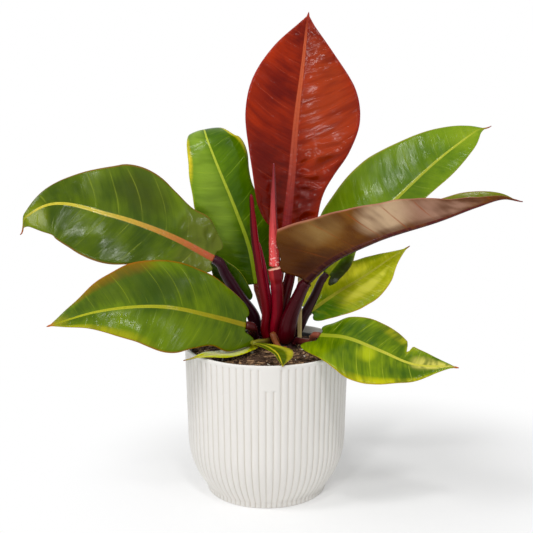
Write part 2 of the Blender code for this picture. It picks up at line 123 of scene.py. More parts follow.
# Foliage, in millimetres.
POINT_HALF_WIDTH = 1.1         # of the drawn-out point of a blade
POINT_START, TAIL_START = 0.9, 0.93
JOINT_WAY, JOINT_LENGTH = 7.0, 2.5      # the ring joint, measured back from the blade
CLASP_WAY, CLASP_LENGTH = 12.0, 22.0    # the widened foot, measured from the crown
NECK_WAY, NECK_LENGTH = 19.0, 4.0       # the waist of a sheath, back from its end

# Fineness of the meshes.
RIB_STEPS = 12                 # round one rib of the planter
TUBE_SIDES = 28                # round a stalk
SAMPLES = 240                  # stops kept along a curve that is read often

# Each leaf blade, as in the solids. midrib: points from base to tip. facing: the way the upper
# face looks, at the base and at the tip. left, right: half widths at even steps. fold: degrees
# that each half is raised from the midrib. curl: degrees more by its edge. lobe: how far the
# left and the right base lobe reach back. rounding: how far forward their corners are drawn.
# sweep: how far forward each side vein runs. wave: height and number of the edge's waves.
# stalk: points between the crown and the blade. socket: where the stalk leaves the crown, from
# its middle. girth: radius of the stalk at even steps.
LEAVES = {
    "top": dict(
        midrib=[(22, 28, 290), (28, 34, 347), (33, 42, 411), (41, 50, 480), (46, 58, 531)],
        facing=((-0.1, -1.0, 0.1), (0.1, -1.0, 0.25)),
        left=(34, 42, 51, 58, 54, 35, 0), right=(34, 39, 62, 71, 62, 32, 0),
        fold=14, curl=-10, lobe=(0, 12), rounding=24, sweep=0.25, wave=(2.0, 2.5),
        stalk=[(18, 24, 205), (27, 27, 239), (28, 30, 270)],
        socket=(5, 5), girth=(7.2, 7.0, 5.5, 4.5)),
    "upper_left": dict(
        midrib=[(-59, 8, 262), (-104, 4, 287), (-171, 0, 312), (-237, -6, 324),
                (-275, -10, 302)],
        facing=((0.0, -0.85, 0.55), (-0.1, -0.85, 0.5)),
        left=(22, 30, 36, 42, 49, 55, 57, 54, 49, 45, 40, 28, 0),
        right=(27, 39, 40, 50, 60, 65, 63, 54, 42, 29, 18, 9, 0),
        fold=10, curl=-12, lobe=(7, 7), rounding=12, sweep=0.25, wave=(1.5, 1.5),
        stalk=[(-14, 24, 190), (-30, 20, 216), (-46, 14, 244)],
        socket=(-19, 6), girth=(5.5, 6.5, 6.5, 5.0)),
    "back_left": dict(
        midrib=[(-12, 60, 223), (-20, 53, 267), (-34, 44, 309), (-57, 36, 368),
                (-67, 42, 393), (-71, 57, 402), (-76, 78, 396)],
        facing=((0.0, -0.95, 0.2), (-0.05, -0.4, 0.9)),
        left=(28, 37, 42, 45, 46, 45, 43, 39, 35, 29, 23, 16, 0),
        right=(24, 31, 35, 36, 34, 31, 30, 34, 39, 40, 33, 20, 0),
        fold=2, curl=-12, lobe=(8, 8), rounding=8, sweep=0.25, wave=(1.5, 2.0),
        stalk=[(0, 46, 188), (-7, 56, 205)],
        socket=(-3, 19), girth=(4.8, 4.5, 4.0, 3.5)),
    "lower_left": dict(
        midrib=[(-23, -16, 192), (-55, -32, 205), (-110, -55, 222), (-174, -72, 221),
                (-227, -80, 207)],
        facing=((0.0, -0.85, 0.55), (-0.2, -0.85, 0.5)),
        left=(25, 35, 33, 41, 49, 50, 45, 38, 31, 23, 15, 8, 0),
        right=(25, 35, 44, 49, 53, 54, 52, 48, 40, 31, 19, 10, 0),
        fold=8, curl=-14, lobe=(15, 5), rounding=8, sweep=0.25, wave=(2.0, 1.5),
        stalk=[(-15, 1, 181)],
        socket=(-20, -5), girth=(4.6, 5.0, 4.5)),
    "right_back": dict(
        midrib=[(70, 48, 237), (109, 66, 281), (152, 84, 319), (206, 106, 365),
                (267, 126, 408)],
        facing=((-0.2, -0.8, 0.6), (-0.2, -0.8, 0.6)),
        left=(24, 39, 51, 57, 62, 64, 63, 57, 49, 41, 32, 20, 0),
        right=(18, 19, 11, 15, 21, 25, 27, 28, 28, 26, 22, 15, 0),
        fold=10, curl=-8, lobe=(8, 12), rounding=6, sweep=0.25, wave=(1.5, 2.0),
        stalk=[(42, 32, 188), (56, 40, 213)],
        socket=(18, 9), girth=(5.5, 5.5, 5.0, 4.0)),
    "folded_right": dict(
        midrib=[(45, 0, 237), (55, -4, 248), (67, -8, 259), (115, -20, 286), (188, -26, 311),
                (225, -26, 325), (252, -25, 333), (271, -24, 332)],
        facing=((0.0, 0.0, 1.0), (0.0, 0.05, 1.0)),
        left=(30, 38, 33, 28, 22, 17, 0), right=(66, 53, 44, 38, 26, 11, 0),
        fold=72, curl=-6, lobe=(8, 0), rounding=21, sweep=0.2, wave=(0.5, 1.0),
        stalk=[(25, 4, 192), (33, 3, 214), (39, 2, 228)],
        socket=(9, -13), girth=(7.6, 8.2, 7.4, 6.0)),
    "lower_back": dict(
        midrib=[(51, 52, 191), (84, 68, 210), (118, 84, 227), (150, 98, 246),
                (174, 108, 259)],
        facing=((-0.2, -0.75, 0.65), (-0.1, -0.7, 0.7)),
        left=(22, 34, 33, 27, 20, 10, 0), right=(20, 32, 36, 35, 27, 12, 0),
        fold=10, curl=-10, lobe=(6, 6), rounding=6, sweep=0.25, wave=(1.5, 2.0),
        stalk=[(36, 45, 179)],
        socket=(10, 18), girth=(4.5, 4.2, 3.8)),
    "right_front": dict(
        midrib=[(58, -40, 187), (82, -60, 190), (119, -78, 180), (149, -86, 169),
                (197, -90, 167)],
        facing=((0.0, -0.65, 0.75), (0.1, -0.65, 0.75)),
        left=(18, 27, 33, 31, 21, 14, 0), right=(26, 38, 47, 44, 27, 10, 0),
        fold=8, curl=-8, lobe=(5, 17), rounding=6, sweep=0.2, wave=(2.0, 2.0),
        stalk=[(39, 1, 169), (49, -18, 174)],
        socket=(19, -10), girth=(3.6, 3.4, 3.2)),
    "behind_left": dict(
        midrib=[(-24, 36, 206), (-39, 34, 226), (-55, 32, 250), (-66, 31, 269)],
        facing=((0.1, -0.9, 0.3), (0.1, -0.9, 0.3)),
        left=(12, 15, 17, 16, 12, 7, 0), right=(12, 15, 17, 16, 12, 7, 0),
        fold=12, curl=10, lobe=(2, 2), rounding=4, sweep=0.2, wave=(1.0, 2.0),
        stalk=[(-12, 37, 189)],
        socket=(-14, 16), girth=(3.8, 3.6, 3.2)),
    "rim_left": dict(
        midrib=[(-15, -12, 168), (-37, -34, 166), (-61, -59, 170.5), (-86, -84, 172)],
        facing=((0.0, -0.1, 1.0), (0.0, -0.2, 1.0)),
        left=(9, 12, 13, 12, 7, 2.5, 0), right=(9, 12, 13, 12, 8, 3, 0),
        fold=4, curl=-4, lobe=(2, 2), rounding=3, sweep=0.2, wave=(0.6, 1.5),
        stalk=[(-9, -3, 170)],
        socket=(-15, -15), girth=(3.0, 2.8, 2.4)),
    "rim_front": dict(
        midrib=[(-12, -34, 176), (0, -54, 178.5), (11, -74, 176.5), (17, -95, 168.5)],
        facing=((0.0, -0.35, 0.95), (0.1, -0.5, 0.85)),
        left=(4, 3, 4, 10, 17, 13, 0), right=(4, 4, 4, 4, 4, 3, 0),
        fold=6, curl=-4, lobe=(0, 0), rounding=2, sweep=0.1, wave=(0.8, 1.5),
        stalk=[(-2, -14, 173)],
        socket=(-6, -19), girth=(2.8, 2.6, 2.2)),
}


def relief(**details):
    """How a blade's surface swells, with what most blades share filled in."""
    return {"crest": 0.2, "swell": 0.3, "tail": (0, 0, 0), **details}


# u is the place along a blade, from 0 at its base to 1 at its tip. side is the place across it:
# -1 at the left rim, 0 on the midrib, 1 at the right rim. rib: half width of the midrib at the
# base and near the tip. crest: how high it stands, as a share of that. vein: distance between
# side veins. swell: height of the soft pillows between them. roll: height and length of the
# broad undulations. pucker: from u, to u, side, height of the tight folds beside the midrib.
# notch: side, u, half width and share of the width of a tear. heel: how far the base edge of
# the right half bulges back, at even steps from the midrib. point: the u where the flesh ends
# and the drawn-out point begins. tail: how far that point is bent away.
RELIEF = {
    "top": relief(rib=(5.4, 1.1), crest=0.5, vein=17, swell=0.9, roll=(2.4, 46),
                  pucker=(0.02, 0.46, 1, 4.4), point=0.988, tail=(1, 0, 1)),
    "upper_left": relief(rib=(4.2, 1.0), crest=0.4, vein=26, roll=(2.2, 52),
                         pucker=(0.01, 0.26, 1, 3.2), point=0.972, tail=(7, 0, -10)),
    "back_left": relief(rib=(2.6, 0.7), vein=18, roll=(2.2, 40), point=0.982, tail=(0, 2, -1)),
    "lower_left": relief(rib=(3.0, 0.8), vein=18, roll=(2.2, 46), point=0.988),
    "right_back": relief(rib=(3.4, 0.9), vein=20, roll=(2.0, 50), point=0.972, tail=(5, 0, -4)),
    "folded_right": relief(rib=(4.6, 0.9), vein=30, roll=(2.6, 44),
                           heel=(0, 0.5, 3, 6, 10, 11, 4, 1, 1, 0.5, 0), point=0.975,
                           tail=(2, 0, -2)),
    "lower_back": relief(rib=(2.8, 0.7), vein=15, roll=(2.4, 32), point=0.975, tail=(1, 0, 1)),
    "right_front": relief(rib=(2.8, 0.8), vein=14, roll=(2.2, 36), notch=(-1, 0.635, 0.018, 0.5),
                          point=0.985, tail=(1, 0, -1)),
    "behind_left": relief(rib=(2.2, 0.6), vein=12, roll=(1.0, 26), point=0.98),
    "rim_left": relief(rib=(1.6, 0.5), vein=10, swell=0.2, roll=(0.5, 24), point=0.97),
    "rim_front": relief(rib=(1.4, 0.6), vein=10, roll=(1.0, 26), point=0.98),
}


def palette(deep, light, vein, rib_base, rib_tip, edge, point, patches=(), **details):
    """Colours of one face of a blade, given as they show on a screen."""
    spots = [(*spot[:4], tone(*spot[4]), spot[5]) for spot in patches]
    return {"deep": tone(*deep), "light": tone(*light), "vein": tone(*vein),
            "rib": (tone(*rib_base), tone(*rib_tip)), "edge": tone(*edge),
            "point": tone(*point), "patches": spots, "bands": 0.3, "crease": 1.4,
            "veins": 0.32, "lean": 0.3, "dull": (), **details}


# Colours in this order: the flesh where it is deep and where it is light, the side veins, the
# midrib at its base and at its tip, the rim, the drawn-out tip. Then patches: u, side, their
# sizes, colour and strength. bands: strength of the deep bands along the veins. crease: depth
# of the creases. veins: strength of the veins' colour. lean: how far they run forward.
# dull: u, side and sizes of less glossy places.
LOOKS = {
    "top": palette(
        (94, 6, 0), (172, 46, 4), (180, 62, 18), (128, 36, 40), (190, 88, 52), (150, 34, 30),
        (160, 50, 34),
        [(0.15, -0.7, 0.35, 0.8, (78, 6, 2), 0.75), (0.6, 0.5, 0.4, 0.6, (176, 66, 24), 0.5),
         (0.12, 0.2, 0.16, 0.8, (96, 16, 4), 0.6)], bands=0.5, crease=2.8),
    "upper_left": palette(
        (48, 70, 0), (104, 126, 4), (156, 168, 50), (178, 82, 52), (206, 190, 60), (150, 96, 46),
        (176, 84, 40),
        [(0.05, -0.5, 0.16, 0.8, (104, 112, 34), 0.8),
         (0.05, 0.6, 0.2, 0.8, (100, 108, 34), 0.7), (0.4, 0.6, 0.16, 0.5, (56, 66, 0), 0.6),
         (0.95, 0.0, 0.14, 1.2, (132, 146, 4), 0.7)],
        bands=0.5, dull=((0.42, 0.6, 0.24, 0.7),)),
    "back_left": palette(
        (52, 88, 0), (108, 144, 2), (160, 186, 50), (140, 166, 24), (186, 198, 60),
        (176, 182, 30), (180, 186, 40),
        [(0.6, -0.5, 0.5, 0.6, (140, 170, 50), 0.75), (0.45, 0.5, 0.3, 0.5, (66, 102, 0), 0.6),
         (0.74, -1.0, 0.12, 0.2, (222, 200, 40), 0.95),
         (0.84, 1.0, 0.2, 0.16, (222, 206, 30), 0.95), (0.1, 0.2, 0.3, 1.0, (44, 72, 1), 0.7)]),
    "lower_left": palette(
        (48, 76, 0), (112, 136, 0), (150, 164, 30), (150, 136, 14), (172, 174, 30), (166, 96, 14),
        (186, 96, 40),
        [(0.66, 0.95, 0.24, 0.3, (156, 90, 2), 0.6), (0.6, 0.5, 0.34, 0.5, (52, 70, 0), 0.6),
         (0.5, -0.6, 0.4, 0.5, (112, 138, 2), 0.6), (1.0, 0.0, 0.12, 1.4, (176, 164, 20), 0.6),
         (0.8, -0.95, 0.34, 0.3, (176, 170, 16), 0.7)],
        bands=0.35, dull=((0.66, 0.55, 0.3, 0.7),)),
    "right_back": palette(
        (76, 112, 4), (130, 160, 20), (160, 180, 60), (160, 174, 26), (186, 192, 56),
        (170, 160, 30), (170, 50, 30),
        # The first patch, nearly black on the right base lobe, is painted shadow cast by the
        # folded right leaf.
        [(0.02, 0.8, 0.14, 0.7, (40, 46, 8), 0.95), (0.92, 0.0, 0.14, 1.2, (146, 168, 30), 0.6)]),
    "folded_right": palette(
        (96, 110, 14), (140, 140, 30), (160, 150, 50), (90, 20, 16), (140, 80, 50),
        (170, 104, 80), (140, 50, 40)),
    # Its flesh colours and its two pale yellow patches are pushed to full brightness: its own
    # yellow-green with painted light shining through it from behind.
    "lower_back": palette(
        (178, 186, 2), (255, 250, 70), (250, 246, 130), (176, 176, 50), (206, 206, 70),
        (214, 160, 24), (170, 66, 26),
        [(0.04, 0.4, 0.3, 1.2, (66, 120, 10), 0.95),
         (0.5, 0.45, 0.28, 0.22, (255, 252, 90), 0.9),
         (0.3, 0.95, 0.3, 0.35, (110, 150, 14), 0.7),
         (0.66, -0.8, 0.2, 0.3, (150, 176, 10), 0.8),
         (0.5, -0.55, 0.2, 0.4, (255, 250, 60), 0.9)], bands=0.6, crease=3.0),
    "right_front": palette(
        (46, 82, 0), (146, 170, 2), (190, 200, 50), (146, 158, 30), (206, 200, 70),
        (190, 160, 20), (186, 80, 34),
        [(0.86, -0.1, 0.2, 0.7, (226, 216, 100), 0.85),
         (0.4, 0.2, 0.08, 0.3, (200, 210, 20), 0.6), (0.6, 1.0, 0.4, 0.24, (206, 200, 4), 0.8),
         (0.72, 0.5, 0.16, 0.3, (70, 104, 1), 0.7), (0.55, -0.9, 0.2, 0.3, (166, 160, 20), 0.6)],
        bands=0.7, veins=0.5),
    "behind_left": palette(
        (38, 66, 0), (70, 98, 1), (104, 132, 24), (100, 120, 16), (140, 150, 40), (166, 164, 50),
        (150, 150, 50)),
    "rim_left": palette(
        (176, 186, 0), (220, 222, 10), (206, 206, 36), (150, 146, 20), (170, 140, 40),
        (190, 174, 30), (120, 70, 36),
        [(0.95, 0.0, 0.2, 1.4, (136, 84, 40), 0.8)]),
    "rim_front": palette(
        (46, 66, 1), (100, 118, 4), (150, 160, 30), (140, 140, 20), (206, 190, 40),
        (206, 186, 36), (206, 186, 36),
        [(0.6, -0.8, 0.4, 0.4, (196, 186, 40), 0.9)]),
}
GREEN_UNDER = palette(
    (86, 108, 40), (118, 138, 62), (140, 154, 84), (130, 50, 40), (150, 150, 70), (150, 130, 60),
    (150, 70, 40))
BRONZE_UNDER = palette(
    (84, 40, 1), (132, 84, 22), (156, 70, 14), (48, 8, 10), (84, 26, 24), (176, 110, 88),
    (120, 40, 34),
    # The first three patches, tan, cream and pinkish, are painted highlight and light shining
    # through the blade; the next two, dark at the base, are painted shade over its own brown.
    [(0.19, 0.75, 0.1, 0.45, (160, 126, 72), 0.75),
     (0.44, 0.6, 0.14, 0.65, (212, 180, 144), 0.9), (0.66, 0.5, 0.2, 0.8, (176, 134, 112), 0.8),
     (0.04, 0.5, 0.1, 0.6, (76, 36, 1), 0.7), (0.08, 0.1, 0.16, 0.35, (56, 20, 1), 0.85),
     (0.4, 0.05, 0.5, 0.22, (76, 32, 4), 0.55)], bands=0.8, veins=0.6, lean=-0.75)
RED_UNDER = palette(
    (110, 20, 10), (150, 50, 24), (160, 60, 34), (110, 16, 26), (160, 50, 40), (150, 40, 36),
    (150, 40, 36))
UNDERSIDES = {"folded_right": BRONZE_UNDER, "top": RED_UNDER}

# Each stalk: its colour at the foot and under its blade, and how much it widens where it
# clasps the crown.
STALKS = {
    "top": ((60, 1, 8), (104, 14, 20), 0.65),
    "upper_left": ((44, 6, 20), (58, 18, 34), 0.25),
    "back_left": ((90, 8, 20), (120, 50, 30), 0.15),
    "lower_left": ((50, 8, 18), (84, 26, 26), 0.15),
    "right_back": ((50, 14, 22), (72, 38, 42), 0.2),
    "folded_right": ((74, 1, 12), (62, 2, 14), 0.2),
    "lower_back": ((80, 20, 24), (120, 100, 40), 0.15),
    "right_front": ((70, 16, 22), (150, 80, 60), 0.15),
    "behind_left": ((60, 14, 20), (90, 90, 30), 0.15),
    "rim_left": ((70, 30, 20), (120, 120, 30), 0.15),
    "rim_front": ((70, 30, 20), (150, 150, 40), 0.15),
}

# Sheaths. socket: where one leaves the crown. path: points above it. girth: radii. tip: share
# of the length that is rounded off. The right flank's colour, blush, rim: as in stalk_finish; on
# the bud sheath and the rolled leaf that flank's colour is painted shade. colours: at the foot
# and at the top.
SHOOTS = {
    "red_sheath": dict(
        socket=(-11, -8), path=[(-1, 9, 200), (-6, 6, 235), (-13, 2, 285), (-17, -1, 336)],
        girth=(4.2, 4.4, 4.2, 4.0, 2.2), tip=0.04, flank_and_shade=(tone(136, 4, 26), 0.1),
        colours=(tone(112, 2, 14), tone(56, 1, 8))),
    "inner_sheath": dict(
        socket=(-8, 3), path=[(3, 16, 205), (-0.5, 12.5, 236), (-4.5, 9.5, 262), (-9, 7.5, 282)],
        girth=(3.0, 3.2, 2.8, 1.4), tip=0.05, colours=(tone(140, 10, 34), tone(150, 24, 50))),
    # The bud sheath's darker red right flank is painted shade, that side facing away from the
    # light.
    "bud_sheath": dict(
        socket=(-2, -6), path=[(12, 11, 200), (12, 10, 222), (10.5, 8, 244), (10.5, 8, 254)],
        girth=(5.2, 6.0, 6.6, 7.6, 9.6), tip=0.012, slant=2.5, flank_and_shade=(tone(108, 4, 20), -0.1),
        blush=(0.66, 0.9), rim=tone(226, 176, 150),
        colours=(tone(140, 2, 28), tone(206, 56, 58))),
    "dry_sheath": dict(
        socket=(1, -21), path=[(7, -12, 181), (10, -17, 173), (17, -22, 167), (23, -20, 169)],
        girth=(2.8, 3.2, 3.0, 1.4), tip=0.08, colours=(tone(110, 52, 22), tone(150, 84, 40))),
}
# The rolled leaf's dark maroon right flank is painted shade, that side facing away from the light.
ROLLED_LEAF = dict(
    path=[(9, 8, 254.3), (9, 8, 278), (8, 9, 305), (8, 9, 335), (8, 8, 368)],
    girth=(6.4, 6.2, 4.2, 2.7, 1.0), flank_and_shade=(tone(72, 2, 12), 0.62),
    colours=(tone(252, 84, 84), tone(116, 6, 26)))


class PlanterSettings(bpy.types.PropertyGroup):
    """Sizes and colours of the planter and of the grower's pot inside it."""

    rib_count: bpy.props.IntProperty(
        name="Ribs", description="Number of upright ribs round the planter", default=72, min=12)
    rib_depth: bpy.props.FloatProperty(
        name="Rib depth", description="Depth of the grooves between the ribs",
        default=1.5 * MM, unit="LENGTH")
    colour: bpy.props.FloatVectorProperty(
        name="Planter", description="Colour of the planter", subtype="COLOR", size=3,
        default=tone(233, 230, 225))
    # Painted shade: the colour the planter is given down in its grooves, where shade falls.
    groove_shade: bpy.props.FloatVectorProperty(
        name="Grooves", description="Colour down in the grooves", subtype="COLOR", size=3,
        default=tone(206, 198, 187))
    pot_colour: bpy.props.FloatVectorProperty(
        name="Inner pot", description="Colour of the grower's pot", subtype="COLOR", size=3,
        default=tone(26, 26, 27))


class FoliageSettings(bpy.types.PropertyGroup):
    """Thickness, fineness and gloss of the leaves."""

    thickness: bpy.props.FloatProperty(
        name="Thickness", description="Thickness of a blade between its veins",
        default=0.8 * MM, unit="LENGTH")
    edge: bpy.props.FloatProperty(
        name="Edge", description="Thickness of a blade at its rim", default=0.4 * MM,
        unit="LENGTH")
    grain: bpy.props.FloatProperty(
        name="Mesh step", description="Distance between the mesh rows of a blade",
        default=2.2 * MM, unit="LENGTH")
    gloss: bpy.props.FloatProperty(
        name="Roughness", description="Roughness of the leaf skin", default=0.16,
        subtype="FACTOR", min=0.0, max=1.0)
    wax: bpy.props.FloatProperty(
        name="Wax", description="How much light the waxy leaf skin reflects", default=0.12,
        subtype="FACTOR", min=0.0, max=1.0)


class MixSettings(bpy.types.PropertyGroup):
    """Colours and lumps of the potting mix."""

    dark: bpy.props.FloatVectorProperty(
        name="Peat", description="Colour of the damp peat", subtype="COLOR", size=3,
        default=tone(86, 60, 40))
    pale: bpy.props.FloatVectorProperty(
        name="Bark", description="Colour of the palest bark", subtype="COLOR", size=3,
        default=tone(196, 156, 114))
    lumps: bpy.props.IntProperty(
        name="Lumps", description="Number of bark and peat lumps on the surface", default=2200)
    seed: bpy.props.IntProperty(
        name="Seed", description="Start of the lumps' random places", default=7)


class StageSettings(bpy.types.PropertyGroup):
    """Floor, light and camera."""

    floor: bpy.props.FloatVectorProperty(
        name="Floor", description="Colour of the floor", subtype="COLOR", size=3,
        default=(0.96, 0.96, 0.96))
    light: bpy.props.FloatProperty(
        name="Light", description="Power of all the lamps together", default=33.0, min=0.0)
    sky: bpy.props.FloatProperty(
        name="Fill", description="Strength of the light from all round", default=0.42, min=0.0)
    lens: bpy.props.FloatProperty(
        name="Focal length", description="Camera lens in millimetres", default=62.6)


class Signal:
    """A shader value: an output socket that takes part in Python sums."""

    def __init__(self, finish, socket):
        self.finish = finish
        self.socket = socket

    def joined(self, operation, *values):
        return self.finish.node("ShaderNodeMath", {"operation": operation},
                                dict(enumerate(values)))

    def __add__(self, other):
        return self.joined("ADD", self, other)

    def __sub__(self, other):
        return self.joined("SUBTRACT", self, other)

    def __rsub__(self, other):
        return self.joined("SUBTRACT", other, self)

    def __mul__(self, other):
        return self.joined("MULTIPLY", self, other)

    def __truediv__(self, other):
        return self.joined("DIVIDE", self, other)

    def __pow__(self, other):
        return self.joined("POWER", self, other)

    def __abs__(self):
        return self.joined("ABSOLUTE", self)


class Finish:
    """A material in the making: its nodes and the calls that add to them."""

    def __init__(self, name, owner=None, **constants):
        self.material = owner or bpy.data.materials.new(name)
        self.material.use_nodes = True
        self.tree = self.material.node_tree
        self.shader = self.tree.nodes.get("Principled BSDF")
        for socket, value in constants.items():
            self.shader.inputs[socket.replace("_", " ")].default_value = value

    def node(self, kind, settings=None, inputs=None, output=0):
        """Any node: its settings first, then the values or links of its sockets."""
        made = self.tree.nodes.new(kind)
        for key, value in (settings or {}).items():
            setattr(made, key, value)
        for key, value in (inputs or {}).items():
            self.feed(made.inputs[key], value)
        return Signal(self, made.outputs[output])

    def feed(self, socket, value):
        """Link a signal to a socket, or set the socket's own value."""
        if isinstance(value, Signal):
            self.tree.links.new(value.socket, socket)
        elif isinstance(value, tuple) and len(socket.default_value) == 4:
            socket.default_value = (*value, 1.0)
        else:
            socket.default_value = value

    def set(self, **values):
        """Feed the shader's own sockets."""
        for key, value in values.items():
            self.feed(self.shader.inputs[key.replace("_", " ")], value)
        return self.material

    def place(self):
        """Where a point of the piece is, in metres."""
        return self.node("ShaderNodeTexCoord", output="Object")

    def attribute(self, name, output="Vector"):
        return self.node("ShaderNodeAttribute", {"attribute_name": name}, output=output)

    def split(self, vector):
        """The three numbers of a vector."""
        parts = self.node("ShaderNodeSeparateXYZ", inputs={0: vector})
        return [Signal(self, out) for out in parts.socket.node.outputs]

    def vector(self, x, y, z):
        return self.node("ShaderNodeCombineXYZ", inputs={0: x, 1: y, 2: z})

    def noise(self, where, scale, detail, roughness=0.5):
        """Smooth noise between 0 and 1."""
        return self.node("ShaderNodeTexNoise", inputs={
            "Vector": where, "Scale": scale, "Detail": detail, "Roughness": roughness})

    def grade(self, value, low, high, start=0.0, end=1.0):
        """Ease from start to end while the value goes from low to high."""
        return self.node(
            "ShaderNodeMapRange", {"interpolation_type": "SMOOTHSTEP"},
            {"Value": value, "From Min": low, "From Max": high, "To Min": start, "To Max": end})

    def mix(self, share, first, second):
        """A colour between two colours."""
        return self.node("ShaderNodeMix", {"data_type": "RGBA"},
                         {0: share, 6: first, 7: second}, output=2)

    def coat(self, colour, grain, rough, distance, strength):
        """Set the colour, and let roughness and bumps follow a grain.

        rough is the grain's low and high and the roughness that each gives.
        """
        return self.set(Base_Color=colour, Roughness=self.grade(grain, *rough),
                        Normal=self.bump(grain, distance, strength))

    def bump(self, height, distance, strength):
        return self.node("ShaderNodeBump", inputs={
            "Height": height, "Distance": distance, "Strength": strength})


def smooth_at(knots, values, x):
    """Read the smooth curve that passes through the values at the knots."""
    spans = [b - a for a, b in zip(knots, knots[1:])]
    rises = [(b - a) / span for a, b, span in zip(values, values[1:], spans)]
    i = max(k for k in range(len(spans)) if k == 0 or knots[k] <= x)
    span = spans[i]

    def slope(k):
        if k == 0:
            return rises[0]
        if k == len(spans):
            return rises[-1]
        return (rises[k - 1] * spans[k] + rises[k] * spans[k - 1]) / (spans[k - 1] + spans[k])

    f = (x - knots[i]) / span
    return (values[i] * (2 * f ** 3 - 3 * f ** 2 + 1) + values[i + 1] * (3 * f ** 2 - 2 * f ** 3)
            + slope(i) * (span * (f ** 3 - 2 * f ** 2 + f))
            + slope(i + 1) * (span * (f ** 3 - f ** 2)))


def smooth_value(values, t):
    """A number read from the smooth curve through evenly spaced values."""
    last = len(values) - 1
    return smooth_at([k / last for k in range(last + 1)], values, t)


def ease(x):
    """Rise smoothly from 0 to 1 while x does."""
    x = min(max(x, 0.0), 1.0)
    return x * x * (3 - 2 * x)


def bulge(place, middle, length):
    """A smooth hump: 1 at its middle, almost nothing two lengths away."""
    return math.exp(-((place - middle) / length) ** 2)


def sampled(function):
    """Values of a function of 0 to 1, at even steps."""
    return [function(i / SAMPLES) for i in range(SAMPLES + 1)]


def read(samples, t):
    """A value between two samples; past the ends it runs straight on."""
    place = t * SAMPLES
    i = min(max(int(place), 0), SAMPLES - 1)
    return samples[i] + (samples[i + 1] - samples[i]) * (place - i)


class Path:
    """A smooth curve through points in millimetres."""

    def __init__(self, points):
        points = [Vector(point) for point in points]
        knots = [0.0]
        for a, b in zip(points, points[1:]):
            knots.append(knots[-1] + (b - a).length)
        self.length = knots[-1]
        self.stops = sampled(lambda t: smooth_at(knots, points, t * self.length))

    def at(self, t):
        """A point of the curve."""
        return read(self.stops, t)

    def way(self, t):
        """The direction of travel."""
        return (self.at(min(t + 0.02, 1.0)) - self.at(max(t - 0.02, 0.0))).normalized()


